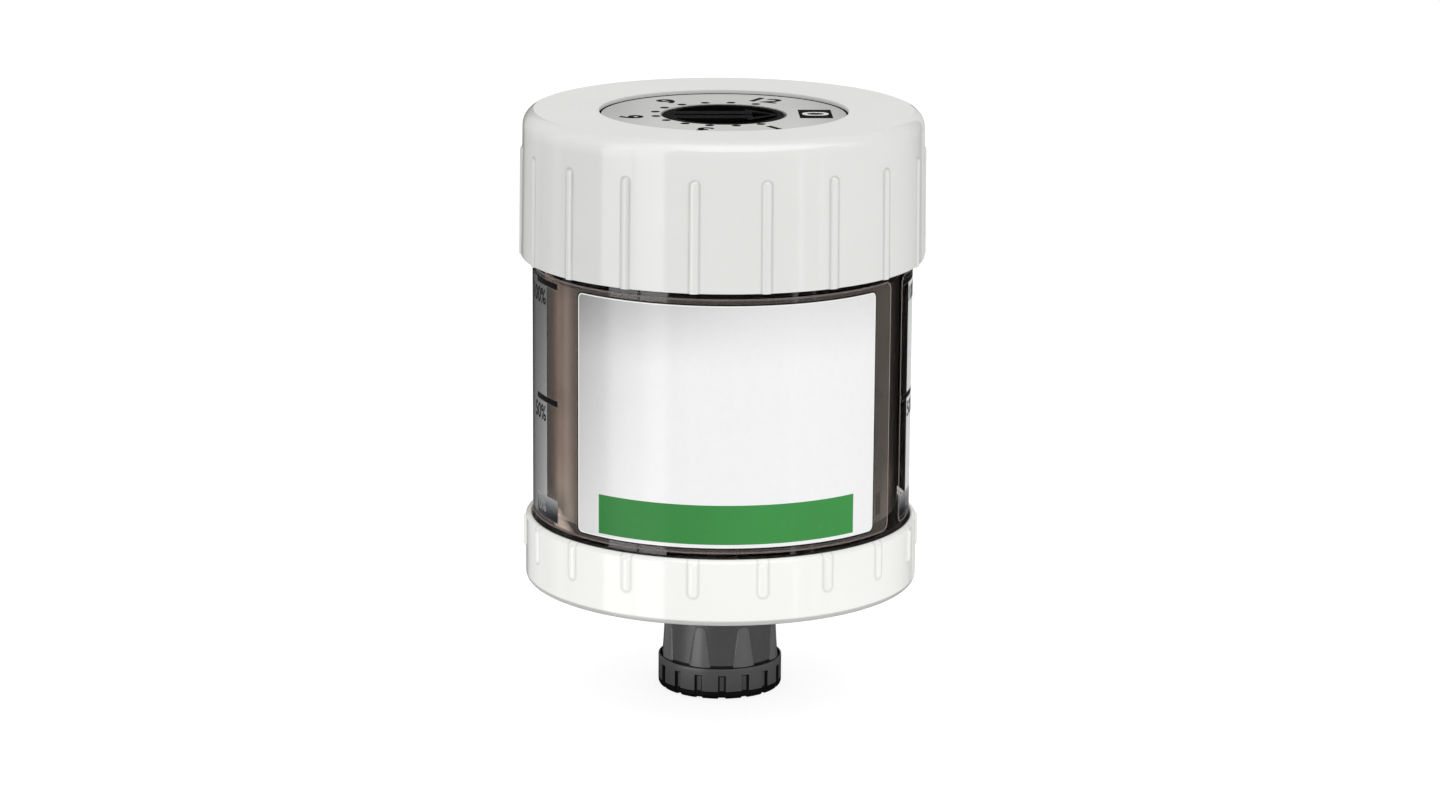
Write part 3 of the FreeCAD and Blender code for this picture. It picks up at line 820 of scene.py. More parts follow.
# ---------------------------------------------------------------------------
# bottom ring
# ---------------------------------------------------------------------------
def build_bottom_ring():
    zb, zt, r = 20.0, 31.48, 33.99
    crest, rr, z_low = 34.39, 1.10, 25.8
    rows = []

    def plain(points):
        rows.extend((a, b, False) for a, b in points)

    plain([(9.4, zb), (20.0, zb), (31.0, zb), (r - 0.9, zb)])
    plain(arc((r - 0.9, zb), (r, zb + 0.9), (r - 0.9, zb + 0.9), 9))
    for z in list(np.linspace(21.6, 24.4, 4)) + list(np.linspace(24.55, 26.0, 22)) + \
            list(np.linspace(26.6, 30.2, 6)) + [30.4, 30.55, 30.66, 30.75, 30.82, 30.86, 30.93]:
        rows.append((r, z, True))
    plain([(33.84, 31.10), (r - 0.33, 31.28), (r - 0.45, 31.38), (r - 0.53, 31.44), (r - 0.62, zt),
           (33.10, zt), (33.0, zt - 0.10),
           (32.82, 31.03), (32.74, 30.2), (32.72, 30.0), (32.72, 21.8), (11.0, 21.8), (11.0, 22.6),
           (9.4, 22.6)])
    th = rib_columns(18, -80.0, 2.2, 31, 9)
    R = np.empty((len(rows), len(th)))
    Z = np.empty_like(R)
    for i, (a, z, ribbed) in enumerate(rows):
        R[i] = a
        Z[i] = z
        if ribbed:
            drop = 0.45 * (max(z - 30.40, 0.0) / 0.5) ** 2
            rib = rib_height(th, -80.0, 18, crest - rr - drop, rr, max(z_low - z, 0.0))
            R[i] = smax(R[i], rib, 0.03)
    v, f = turned_grid(R, Z, th)
    ob = weighted(link("bottom_ring_shell", v, f, 24))
    give(ob, m_ring)
    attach(ob, "canister")
    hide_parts("bottom_ring")


# ---------------------------------------------------------------------------
# reservoir: clear canister, with its real outlet thread
# ---------------------------------------------------------------------------
def build_reservoir():
    """Two meshes in one piece: the body, and the threaded spigot on finer rows."""
    th = np.arange(0, 360, 2.5)
    prof = [(5.98, 19.5), (5.98, 20.3), (9.0, 20.3), (9.0, 30.1)]
    prof += run((9.0, 30.1), (9.6, 30.7), 1) + [(30.2, 30.7), (30.7, 30.2), (30.7, 21.85),
                                                (32.28, 21.85)]
    prof += arc((32.28, 21.85), (32.58, 22.15), (32.28, 22.15), 4)
    prof += [(32.58, 40.0), (32.58, 60.0), (32.58, 87.0), (32.92, 87.5), (32.92, 87.9),
             (32.58, 88.6), (32.58, 90.7)]
    prof += arc((32.58, 90.7), (32.28, 91.0), (32.28, 90.7), 4)
    prof += [(31.1, 91.0), (30.7, 90.5)]
    outer_rows = len(prof)
    prof += [(30.7, 33.6)] + arc((30.7, 33.6), (30.2, 33.1), (30.2, 33.6), 4)
    prof += [(5.2, 33.1), (4.2, 32.75), (2.75, 30.7), (2.75, 20.0), (2.75, 6.6)]
    inner_rows = len(prof)
    # the spigot from its end up
    prof += run((2.75, 6.6), (5.6, 6.6), 2)
    z = 6.6
    thread = [(5.6, 6.6, 0)]
    rows = [(r, zz, False) for r, zz in prof]
    n = 206
    for k in range(n + 1):
        zz = 6.62 + (19.30 - 6.62) * k / n
        lim = min(5.68 + (zz - 6.6), 6.5785)
        if zz > 18.7:
            lim = min(lim, 6.5785 - 0.6 * (zz - 18.7) / 0.6)
        rows.append((lim, zz, True))
    R = np.empty((len(rows), len(th)))
    Z = np.empty_like(R)
    for i, (r, zz, threaded) in enumerate(rows):
        R[i] = r
        Z[i] = zz
        if threaded:
            ph = 2 * math.pi * zz / PITCH - th * RAD
            t = THREAD_MID + THREAD_AMP * np.cos(ph)
            fade = min(1.0, max(0.0, (19.0 - zz) / 0.8))
            t = 5.98 + (t - 5.98) * fade if zz > 18.2 else t
            R[i] = np.minimum(R[i], np.maximum(t, 5.60))
    v, f = turned_grid(R, Z, th)
    ob = link("canister_clear", v, f, 40)
    give(ob, m_tank, m_tank_in)
    per = len(th)
    ids = np.zeros(len(ob.data.polygons), np.int32)
    for i in range(outer_rows - 1, inner_rows):
        ids[i * per:(i + 1) * per] = 1
    if len(ids) == per * len(rows):
        ob.data.polygons.foreach_set("material_index", ids)
    # gussets under the floor
    gv, gf = [], []
    for i in range(8):
        a = (45 * i + 22.5) * RAD
        ca, sa = math.cos(a), math.sin(a)
        base = len(gv)
        outline = [(8.8, 22.8), (9.0, 22.6), (31.0, 22.6), (31.1, 22.8), (31.1, 30.9), (8.8, 30.9)]
        for side in (-0.8, 0.8):
            for r, zz in outline:
                gv.append(((r * ca - side * sa) * MM, (r * sa + side * ca) * MM, zz * MM))
        m = len(outline)
        gf.append(tuple(base + k for k in range(m)))
        gf.append(tuple(base + m + k for k in reversed(range(m))))
        for k in range(m):
            k2 = (k + 1) % m
            gf.append((base + k, base + m + k, base + m + k2, base + k2))
    bm = bmesh.new()
    bm.from_mesh(ob.data)
    tmp = bpy.data.meshes.new("gusset_tmp")
    tmp.from_pydata(gv, [], gf)
    tmp.update()
    bm.from_mesh(tmp)
    bmesh.ops.recalc_face_normals(bm, faces=[g for g in bm.faces if len(g.verts) == 6 or
                                             g.calc_area() < 0])
    bm.to_mesh(ob.data)
    bm.free()
    bpy.data.meshes.remove(tmp)
    ob.data.polygons.foreach_set("use_smooth", [True] * len(ob.data.polygons))
    ob.data.set_sharp_from_angle(angle=40 * RAD)
    weighted(ob)
    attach(ob, "canister")
    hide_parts("reservoir")


# ---------------------------------------------------------------------------
# closure cap: notched ring, eight tapered ribs, inner thread
# ---------------------------------------------------------------------------
def build_closure():
    R_RING, R_IN, N_LOW, N_MID, N_TOP = 10.80, 10.48, 10.12, 9.77, 9.72
    ZR, ZF, ZT, BORE = 5.5, 11.5, 19.3, 6.65
    edges = []
    for i in range(16):
        c = -90.0 + 22.5 * i
        edges += [c - 3.60, c - 3.48, c - 2.10, c + 2.10, c + 3.48, c + 3.60]
    cols = list(edges)
    for k in range(480):
        a = -90.0 + 0.75 * k
        if min(abs(wrap_deg(a - e)) for e in edges) > 0.22:
            cols.append(a)
    th = np.array(sorted(((c + 93.0) % 360.0) - 93.0 for c in cols))
    from_notch = np.abs(wrap_deg(np.mod(th + 90.0 + 11.25, 22.5) - 11.25))
    near_notch = from_notch < 3.5
    notch_side = (from_notch > 2.05) & (from_notch < 3.65)
    phi = wrap_deg(np.mod(th + 67.5 + 22.5, 45.0) - 22.5) * RAD

    def neck(z):
        if z <= ZR:
            return N_LOW
        if z >= ZF:
            return N_MID + (N_TOP - N_MID) * (z - ZF) / (18.9 - ZF)
        t = (z - ZR) / (ZF - ZR)
        return N_LOW + (N_MID - N_LOW) * t - 0.16 * t * (1 - t)

    rows = []  # r, z, kind: 0 plain, 1 notched wall, 2 neck with ribs, 3 groove
    rows.append((0.0, 0.6, 0))
    rows += [(5.0, 0.6, 0), (7.6, 0.6, 0), (8.2, 0.0, 0), (9.0, 0.0, 0)]
    rows += [(9.50, 0.0, 1), (9.56, 0.0, 1), (9.95, 0.0, 1)]
    rows += [(a, b, 1) for a, b in arc((9.95, 0.0), (10.8, 1.0 - 0.15), (9.95, 0.85), 8)]
    rows += [(R_RING, z, 1) for z in (1.15, 1.45, 2.2, 3.2, 4.0, 4.27, 4.31)]
    rows += [(R_RING, 4.9, 0), (R_RING, ZR - 0.15, 0)]
    rows += [(a, b, 0) for a, b in arc((R_RING, ZR - 0.15), (R_RING - 0.15, ZR),
                                       (R_RING - 0.15, ZR - 0.15), 3)]
    rows += [(R_IN + 0.04, ZR, 0), (R_IN, ZR - 0.08, 3), (R_IN - 0.06, ZR - 0.95, 3),
             (N_LOW + 0.06, ZR - 0.95, 3)]
    for z in [ZR - 0.80, ZR - 0.3, ZR, ZR + 0.14]:
        rows.append((neck(z), z, 3 if z < ZR + 0.1 else 2))
    for z in list(np.linspace(5.9, 11.2, 13)) + list(np.linspace(11.35, 12.85, 21)) + \
            list(np.linspace(13.2, 18.6, 7)):
        rows.append((neck(z), z, 2))
    rows += [(a, b, 0) for a, b in arc((N_TOP, 18.9), (N_TOP - 0.4, ZT), (N_TOP - 0.4, 18.9), 5)]
    rows += [(BORE + 0.5, ZT, 0), (BORE + 0.25, ZT - 0.18, 0), (BORE, ZT - 0.5, 0),
             (BORE, 14.0, 0), (BORE, 9.0, 0), (BORE, 5.0, 0), (3.0, 5.0, 0), (0.0, 5.0, 0)]
    p_low, p_high, z_p, r_p = 10.46, 9.98, 11.6, 4.5
    slope = (p_low - p_high) / (z_p - ZR)
    tip_r = (1.02 ** 2 + 1.1 ** 2) / 2.2
    R = np.empty((len(rows), len(th)))
    Z = np.empty_like(R)
    rib = np.zeros(R.shape, bool)
    for i, (r, z, kind) in enumerate(rows):
        R[i] = r
        Z[i] = z
        if kind == 1:
            Z[i] = np.where(near_notch & (r > 9.53) & (z < 0.36), 0.36, z)
            if z < 4.3:
                R[i] = np.where(near_notch, np.minimum(R[i], 10.30), R[i])
        if kind == 2 or (kind == 3 and r <= N_LOW + 0.07):
            out = p_low - slope * (z - ZR)
            c = out - r_p
            pet = c * np.cos(phi) + np.sqrt(np.maximum(r_p ** 2 - (c * np.sin(phi)) ** 2, 0))
            if z <= z_p:
                half = 1.93 + (1.02 - 1.93) * max(z - ZR, 0.0) / (z_p - ZR)
            else:
                half = math.sqrt(max(tip_r ** 2 - (z - (12.7 - tip_r)) ** 2, 0.0)) if z < 12.7 else -3.0
            side = np.abs(pet * np.sin(phi)) - half
            pet = pet - 1.3 * np.maximum(side, 0.0)
            pet = np.minimum(pet, R_IN - 0.012)
            rib[i] = (pet > r + 0.012) & (kind == 2)
            R[i] = smax(np.full_like(pet, r), pet, 0.012)
            if z < ZR + 0.05:
                R[i] = np.minimum(R[i], R_IN - 0.012 if z > ZR - 0.5 else R_IN - 0.06)
    v, f = turned_grid(R, Z, th, closed=False)
    per = len(th)
    ids = np.zeros(len(f), np.int32)
    for i in range(len(rows) - 1):
        k0, k1 = rows[i][2], rows[i + 1][2]
        seg = ids[i * per:(i + 1) * per]
        # painted shade on the rounded foot
        if rows[i + 1][1] < 1.46 and i < 30:
            seg[:] = 3
        # painted shade in the groove between ring and neck
        if k0 == 3 or (k1 == 3 and rows[i][1] > 5.0):
            seg[:] = 2
        # painted light: the notched ring wall takes the lighter grey
        if rows[i + 1][1] > 1.46 and rows[i][0] > 10.3 and i < 38 and rows[i][1] < 5.5:
            seg[:] = 4
        # painted shade on the notches' sides and tops
        if k0 == 1 and k1 == 1:
            if rows[i + 1][1] > 0.5:
                seg[notch_side & np.roll(notch_side, -1)] = 2
            if rows[i][1] > 3.9:
                seg[near_notch & np.roll(near_notch, -1)] = 2
        # painted light: the ribs take the lighter grey
        if k0 == 2 and k1 == 2:
            a = rib[i] & rib[i + 1]
            seg[a & np.roll(a, -1)] = 1
            # painted shade on the neck low between the ribs
            if rows[i][1] < 5.85:
                seg[~(a | np.roll(a, -1))] = 2
    # inner thread: a ridge swept along the right-hand helix that runs in the
    # spigot's groove
    z0, z1 = 7.3, 18.2
    turns = (z1 - z0) / PITCH
    seg = int(turns * 72)
    sec = []
    for k in range(9):
        u = -0.30 + 0.60 * k / 8
        rr = THREAD_MID + 0.07 - THREAD_AMP * math.cos(2 * math.pi * u)
        sec.append((rr, u * PITCH))
    sec = [(7.0, sec[0][1])] + sec + [(7.0, sec[-1][1])]
    base = len(v)
    m = len(sec)
    for k in range(seg + 1):
        zc = z0 + (z1 - z0) * k / seg
        # the spigot's crest is where 2 pi z / pitch = theta, its groove half a turn on
        a = 2 * math.pi * (zc / PITCH) - math.pi
        grow = min(1.0, k / 30.0, (seg - k) / 30.0)
        for rr, dz in sec:
            r2 = 7.0 - (7.0 - rr) * grow if rr < 6.99 else 7.0
            v.append((r2 * math.cos(a) * MM, r2 * math.sin(a) * MM, (zc + dz) * MM))
    for k in range(seg):
        for j in range(m):
            j2 = (j + 1) % m
            a, b = base + k * m, base + (k + 1) * m
            f.append((a + j, a + j2, b + j2, b + j))
    f.append(tuple(base + j for j in reversed(range(m))))
    f.append(tuple(base + seg * m + j for j in range(m)))
    ob = weighted(link("closure_cap_shell", v, f, 24))
    give(ob, m_closure, m_closure_rib_lit, m_closure_shade, m_closure_foot_shade, m_closure_ring_lit)
    if len(ob.data.polygons) == len(f):
        ob.data.polygons.foreach_set("material_index",
                                     list(ids) + [0] * (len(f) - len(ids)))
    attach(ob, "closure")
    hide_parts("closure_cap")


# ---------------------------------------------------------------------------
# dial plate with its print, and the selector knob
# ---------------------------------------------------------------------------
def build_dial():
    z0 = 100.10
    prof = [(10.78, z0), (15.0, z0), (21.0, z0), (21.15, z0 + 0.15), (21.15, DIAL_FACE - 0.15)]
    prof += arc((21.15, DIAL_FACE - 0.15), (21.0, DIAL_FACE), (21.0, DIAL_FACE - 0.15), 4)
    prof += [(18.0, DIAL_FACE), (14.0, DIAL_FACE), (10.90, DIAL_FACE)]
    prof += arc((10.90, DIAL_FACE), (10.78, DIAL_FACE - 0.12), (10.90, DIAL_FACE - 0.12), 4)
    th = np.arange(0, 360, 2.0)
    R = np.array([[r] * len(th) for r, z in prof])
    Z = np.array([[z] * len(th) for r, z in prof])
    v, f = turned_grid(R, Z, th)
    ob = weighted(link("dial_disc", v, f, 36))
    give(ob, m_dial)
    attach(ob, "canister")
    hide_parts("dial_plate")

    # a black ring in the gap between the disc and the cap's lip: painted shade
    prof = [(20.98, DIAL_FACE - 0.5), (21.34, DIAL_FACE - 0.5), (21.34, DIAL_FACE + 0.06),
            (21.28, DIAL_FACE + 0.06), (21.04, DIAL_FACE + 0.03), (20.98, DIAL_FACE)]
    R = np.array([[r] * len(th) for r, z in prof])
    Z = np.array([[z] * len(th) for r, z in prof])
    v, f = turned_grid(R, Z, th)
    joint = link("dial_gap_shade", v, f, 36)
    give(joint, m_gap_shade)
    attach(joint, "canister")

    low, high = DIAL_FACE - 0.01, DIAL_FACE + 0.022
    step = 360.0 / 16.5
    azimuth = {12: 60.0}
    for n in range(11, 0, -1):
        azimuth[n] = 60.0 + step * (12 - n)

    # twelve dots
    pts, faces = [], []
    for n, a in azimuth.items():
        c = (11.85 * math.cos(a * RAD), 11.85 * math.sin(a * RAD))
        base = len(pts)
        k = 20
        for i in range(k):
            t = 2 * math.pi * i / k
            pts.append((c[0] + 0.78 * math.cos(t), c[1] + 0.78 * math.sin(t)))
        faces.append(tuple(range(base, base + k)))
    # numerals, their feet towards the centre
    for n in (1, 3, 6, 9, 12):
        tp, tf, w = text_layout(str(n), 4.1, bold=0.034, wide=1.12)
        a = azimuth[n]
        up = (math.cos(a * RAD), math.sin(a * RAD))
        right = (up[1], -up[0])
        base = len(pts)
        for x, y in tp:
            xx, yy = x - w / 2, y + 14.1
            pts.append((right[0] * xx + up[0] * yy, right[1] * xx + up[1] * yy))
        faces += [tuple(base + i for i in t) for t in tf]
    dots = sheet_solid("dial_print", pts, faces, on_dial, low, high)
    give(dots, m_ink)
    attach(dots, "canister")

    # the 0 mark: a solid black box with a light 0 in it
    def rounded(x0, x1, y0, y1, c):
        out = []
        for cx, cy, s in ((x1 - c, y1 - c, 0), (x0 + c, y1 - c, 1), (x0 + c, y0 + c, 2),
                          (x1 - c, y0 + c, 3)):
            for k in range(4):
                t = math.pi / 2 * (s + k / 3)
                out.append((cx + c * math.cos(t), cy + c * math.sin(t)))
        return out

    loop = rounded(12.85, 18.5, -4.3, 4.3, 0.22)
    boxed = sheet_solid("dial_zero_box", loop, [tuple(range(len(loop)))], on_dial, low, high)
    give(boxed, m_ink)
    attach(boxed, "canister")
    outer, inner = [], []
    k = 48
    for i in range(k):
        t = 2 * math.pi * i / k
        sx = math.copysign(abs(math.cos(t)) ** 0.8, math.cos(t))
        sy = math.copysign(abs(math.sin(t)) ** 0.8, math.sin(t))
        outer.append((15.68 + 2.28 * sx, 1.75 * sy))
        inner.append((15.68 + 1.42 * sx, 0.93 * sy))
    ring = [(i, (i + 1) % k, k + (i + 1) % k, k + i) for i in range(k)]
    zero = sheet_solid("dial_zero_numeral", outer + inner, ring, on_dial, low, high + 0.016)
    give(zero, m_dial_white)
    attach(zero, "canister")

    knob = cad_copy("selector_knob", "knob_detailed", bevel=0.11)
    give(knob, m_knob, m_knob_pocket_shade)
    # painted shade: faces below the knob's top take the darker black
    for p in knob.data.polygons:
        if p.center.z < 0.10098:
            p.material_index = 1
    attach(knob, "selector")
    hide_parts("selector_knob")


# ---------------------------------------------------------------------------
# label film and its print
# ---------------------------------------------------------------------------
def wrap_piece(name, layout, low, high, mat):
    pts, faces = layout
    ob = sheet_solid(name, pts, faces, on_wrap, low, high)
    give(ob, mat)
    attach(ob, "canister")
    return ob


def build_label():
    z0, z1 = 32.3, 75.85
    a0, a1 = 66.1 - 360.0, 58.3
    film = wrap_piece("film_wrap", panel_layout(a0, a1, z0, z1, 1.6, R_FILM, 2.0, rows=2),
                      R_FILM_IN, R_FILM, m_film)
    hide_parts("label_film")
    line = wrap_piece("film_edge_line", border_layout(a0, a1, z0, z1, 1.6, 0.32, R_FILM, 2.0),
                      R_FILM + 0.004, R_FILM + 0.012, m_film_edge)
    line.data.materials.append(m_film_rim)
    for p in line.data.polygons:
        if min(abs(p.center.z - z0 * MM), abs(p.center.z - z1 * MM)) < 0.00034:
            p.material_index = 1
    # front panel
    half = 49.65
    wrap_piece("label_shadow_line",
               border_layout(-half - 0.42, half + 0.42, 33.31 - 0.24, 74.68 + 0.24, 1.2, 0.26,
                             R_FILM, 1.4),
               R_FILM + 0.002, R_FILM + 0.0045, m_line)
    wrap_piece("label_front", panel_layout(-half, half, 33.31, 74.68, 1.0, R_FILM, 1.4),
               R_FILM + 0.006, R_FILM + 0.020, m_white)
    wrap_piece("label_front_edge", border_layout(-half, half, 33.31, 74.68, 1.0, 0.20, R_FILM, 1.4),
               R_FILM + 0.016, R_FILM + 0.028, m_edge_white)
    wrap_piece("label_band", panel_layout(-41.1, 40.8, 33.92, 40.68, 0.0, R_FILM, 1.4),
               R_FILM + 0.014, R_FILM + 0.030, m_green)
    # back panel, from 73.5 round the back to -67.5
    wrap_piece("label_back", panel_layout(73.5 - 360.0, -67.5, 33.31, 74.68, 1.0, R_FILM, 1.6),
               R_FILM + 0.006, R_FILM + 0.020, m_back_print_shade)
    # level marks at both sides
    for tag, lo, hi in (("left", -76.4, -60.4), ("right", 67.1, 83.1)):
        for pct, z in ((100, 74.4), (50, 54.1)):
            wrap_piece("mark_%s_%d" % (tag, pct),
                       panel_layout(lo, hi, z - 0.50, z + 0.50, 0.0, R_FILM, 1.4),
                       R_FILM + 0.014, R_FILM + 0.034, m_ink)
            wrap_piece("mark_rim_%s_%d" % (tag, pct),
                       panel_layout(lo - 0.2, hi + 0.24, z - 0.57, z + 0.57, 0.0, R_FILM, 1.4),
                       R_FILM + 0.006, R_FILM + 0.011, m_rim)
        wrap_piece("mark_%s_0" % tag, panel_layout(lo, hi, 33.25, 37.1, 0.0, R_FILM, 1.4),
                   R_FILM + 0.014, R_FILM + 0.034, m_block)
        wrap_piece("mark_rim_%s_0" % tag,
                   panel_layout(lo - 0.2, hi + 0.24, 33.12, 37.24, 0.0, R_FILM, 1.4),
                   R_FILM + 0.006, R_FILM + 0.011, m_rim)
    # painted shade: faint dark images of the marks on the canister's inner wall
    wrap_piece("mark_echo_50", panel_layout(57.5, 61.0, 55.0, 55.9, 0.0, R_BORE, 1.4),
               R_BORE - 0.030, R_BORE - 0.012, m_mark_shade)
    wrap_piece("mark_echo_0", panel_layout(57.3, 60.5, 34.6, 38.6, 0.0, R_BORE, 1.4),
               R_BORE - 0.030, R_BORE - 0.012, m_mark_shade)
    per = 1.0 / (R_FILM * RAD)
    for pct, zt, mat in ((100, 70.5, m_ink), (50, 50.2, m_ink), (0, 34.2, m_figure)):
        for tag in ("left", "right"):
            pts, faces, w = text_layout("%d%%" % pct, 2.6 if pct else 2.2, bold=0.010, wide=1.0)
            if tag == "left":
                start = -68.35 - w * per
            else:
                start = 74.2
            lay = [(start + x * per, zt + y) for x, y in pts]
            wrap_piece("figure_%s_%d" % (tag, pct), (lay, faces), R_FILM + 0.016,
                       R_FILM + 0.044, mat)


# ---------------------------------------------------------------------------
# grease
# ---------------------------------------------------------------------------
def build_grease():
    zl, zh, r = 33.15, 74.35, 30.65
    prof = [(0.0, zl), (12.0, zl), (r - 0.55, zl)]
    prof += arc((r - 0.55, zl), (r, zl + 0.55), (r - 0.55, zl + 0.55), 4)
    prof += run((r, zl + 0.55), (r, zh - 0.3), 24)
    prof += arc((r, zh - 0.3), (r - 0.3, zh), (r - 0.3, zh - 0.3), 3)
    prof += [(18.0, zh), (0.0, zh)]
    th = np.arange(0, 360, 2.5)
    R = np.array([[a] * len(th) for a, z in prof])
    Z = np.array([[z] * len(th) for a, z in prof])
    v, f = turned_grid(R, Z, th, closed=False)
    ob = link("grease_fill", v, f, 50)
    give(ob, m_grease)
    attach(ob, "canister")
    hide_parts("grease_charge")
    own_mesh(ob)
    # what stands in the outlet bore
    prof = [(0.0, 7.05), (1.6, 6.95), (2.5, 7.0), (2.72, 7.25), (2.72, 20.0), (2.72, 30.6),
            (4.0, 32.5), (5.0, 33.05), (3.0, 33.12), (0.0, 33.12)]
    th = np.arange(0, 360, 7.5)
    R = np.array([[a] * len(th) for a, z in prof])
    Z = np.array([[z] * len(th) for a, z in prof])
    v, f = turned_grid(R, Z, th, closed=False)
    ob = link("grease_outlet", v, f, 50)
    give(ob, m_grease)
    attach(ob, "canister")


# ---------------------------------------------------------------------------
# inner parts keep their CAD shape, with rounded edges and their own finish
# ---------------------------------------------------------------------------
def build_inner():
    plan = (
        ("knob_clip", m_spring, "selector", "spring_steel", 0.06),
        ("wiper_contact", m_bronze, "selector", "contact_bronze", 0.04),
        ("circuit_board", m_board, "canister", "board_green", 0.06),
        ("board_resistors", m_resistor, "canister", "resistor_black", 0.05),
        ("gas_cell_left", m_steel, "canister", "cell_steel", 0.0),
        ("gas_cell_right", m_steel, "canister", "cell_steel", 0.0),
        ("contact_springs", m_bronze, "canister", "contact_bronze", 0.04),
        ("drive_carrier", m_carrier, "canister", "carrier_grey", 0.0),
        ("vent_membranes", m_membrane, "canister", "membrane_white", 0.03),
        ("piston", m_piston, "piston", "piston_black", 0.0),
    )
    for node, mat, body, slot, bevel in plan:
        if bevel:
            ob = cad_copy(node, node + "_detailed", bevel=bevel)
            give(ob, mat)
            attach(ob, body)
            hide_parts(node)
        else:
            give(NODES[node], mat)
    for node in ("knob_o_ring", "carrier_o_ring", "piston_seal_lower", "piston_seal_upper",
                 "closure_seal"):
        give(NODES[node], m_rubber)


build_top_cap()
build_bottom_ring()
build_reservoir()
build_closure()
build_dial()
build_label()
build_grease()
build_inner()


# ---------------------------------------------------------------------------
# stage: pale floor, soft light, and cards that only reflections see
# ---------------------------------------------------------------------------
def glow(name, colour, strength):
    m = bpy.data.materials.new(name)
    m.use_nodes = True
    nt = m.node_tree
    nt.nodes.clear()
    o = nt.nodes.new("ShaderNodeOutputMaterial")
    e = nt.nodes.new("ShaderNodeEmission")
    e.inputs[0].default_value = (*colour, 1)
    e.inputs[1].default_value = strength
    nt.links.new(e.outputs[0], o.inputs[0])
    return m


def reflect_only(ob):
    ob.visible_camera = False
    ob.visible_diffuse = False
    ob.visible_transmission = False
    ob.visible_volume_scatter = False
    ob.visible_shadow = False


def card(name, az0, az1, dist, z0, z1, mat):
    """An upright curved card round the object, azimuths in degrees right of -Y."""
    n = 8
    verts, faces = [], []
    for k in range(n + 1):
        a = (az0 + (az1 - az0) * k / n) * RAD
        for z in (z0, z1):
            verts.append((dist * math.sin(a), -dist * math.cos(a), z))
    for k in range(n):
        faces.append((2 * k, 2 * k + 1, 2 * k + 3, 2 * k + 2))
    ob = link(name, verts, faces)
    give(ob, mat)
    reflect_only(ob)
    return ob


CAM_AZ = -2.17
CARDS = (
    # name, azimuths from the camera's side, distance, heights, brightness
    ("soft_a", -71.3, -51.4, 1.2, -1.2, 1.6, 2.2),
    ("soft_b", -50.0, -32.5, 1.2, -1.2, 1.6, 2.4),
    ("strip_a", 42.6, 45.6, 1.2, -1.2, 1.6, 1.2),
    ("strip_b", 56.0, 57.0, 1.2, -1.2, 1.6, 1.6),
    ("side_left", -112.0, -104.0, 1.2, -1.2, 1.6, 0.32),
    ("side_right", 100.0, 135.0, 1.2, -1.2, 1.6, 0.05),
    ("front_high", -30.0, 75.0, 1.3, 0.05, 1.2, 0.30),
    ("back_left", -158.0, -128.0, 1.4, -1.2, 1.6, 0.28),
    ("back_right", 156.0, 172.0, 1.4, -1.2, 1.6, 0.50),
    ("back_low", 172.0, 202.0, 1.4, 0.20, 0.75, 0.030),
)
for name, a0, a1, dist, zl, zh, bright in CARDS:
    card(name, CAM_AZ + a0, CAM_AZ + a1, dist, zl, zh,
         glow(name + "_glow", (1.0, 1.0, 1.0), bright))

# a dome that only reflections see: bright high up in front, dark behind
verts, faces = [], []
for i in range(16):
    e = (16.0 + 74.0 * i / 15) * RAD
    for j in range(48):
        a = 7.5 * j * RAD
        verts.append((1.7 * math.cos(e) * math.cos(a), 1.7 * math.cos(e) * math.sin(a),
                      1.7 * math.sin(e)))
for i in range(15):
    for j in range(48):
        faces.append((48 * i + j, 48 * i + 48 + j, 48 * i + 48 + (j + 1) % 48,
                      48 * i + (j + 1) % 48))
dome = link("front_dome", verts, faces)
td = Tree("front_dome_glow")
dx, dy, dz = td.xyz()
power = td.math("MULTIPLY", td.remap(dz, 0.50, 1.05, 0.0, 3.6, smooth=True),
                td.remap(dy, -0.60, 0.20, 1.0, 0.05, smooth=True))
power = td.math("MULTIPLY", power, td.remap(dx, -1.10, -0.20, 0.45, 1.0, smooth=True))
power = td.math("MULTIPLY", power, td.remap(dx, 0.60, 1.40, 1.0, 0.7, smooth=True))
emit = td.add("ShaderNodeEmission")
td.wire(power, emit.inputs["Strength"])
td.wire(emit.outputs[0], td.out.inputs[0])
give(dome, td.mat)
reflect_only(dome)

# a dark ring on the floor close round the foot, seen only by the closure's light
k = 48
verts = []
for rr in (0.0104, 0.030):
    verts += [(rr * math.cos(2 * math.pi * i / k), rr * math.sin(2 * math.pi * i / k), -0.0003)
              for i in range(k)]
foot_dark = link("foot_dark", verts, [(i, k + i, k + (i + 1) % k, (i + 1) % k) for i in range(k)])
fd = Tree("foot_dark_cloth")
fd.base(fd.mix(fd.noise(400.0), (0.010, 0.010, 0.010), (0.016, 0.016, 0.016)))
fd.put("Roughness", 0.9)
fd.put("Specular IOR Level", 0.0)
give(foot_dark, fd.mat)
foot_dark.visible_camera = False
foot_dark.visible_shadow = False

# floor
fl = []
ff = []
N = 24
for i in range(N + 1):
    for j in range(N + 1):
        fl.append((-6 + 12 * i / N, -6 + 12 * j / N, 0.0))
for i in range(N):
    for j in range(N):
        a = i * (N + 1) + j
        ff.append((a, a + N + 1, a + N + 2, a + 1))
def floor_sheet(name, z, pale, glowing):
    ob = link(name, [(x, y, z) for x, y, _ in fl], ff)
    t = Tree(name + "_paper")
    t.base(t.mix(t.remap(t.noise(3.0, 2.0), 0.3, 0.7, 0, 1), (pale,) * 3, (pale + 0.01,) * 3))
    t.put("Roughness", 0.9)
    t.put("Specular IOR Level", 0.0)
    t.put("Emission Color", (1, 1, 1))
    t.put("Emission Strength", glowing)
    give(ob, t.mat)
    ob.visible_glossy = False
    return ob


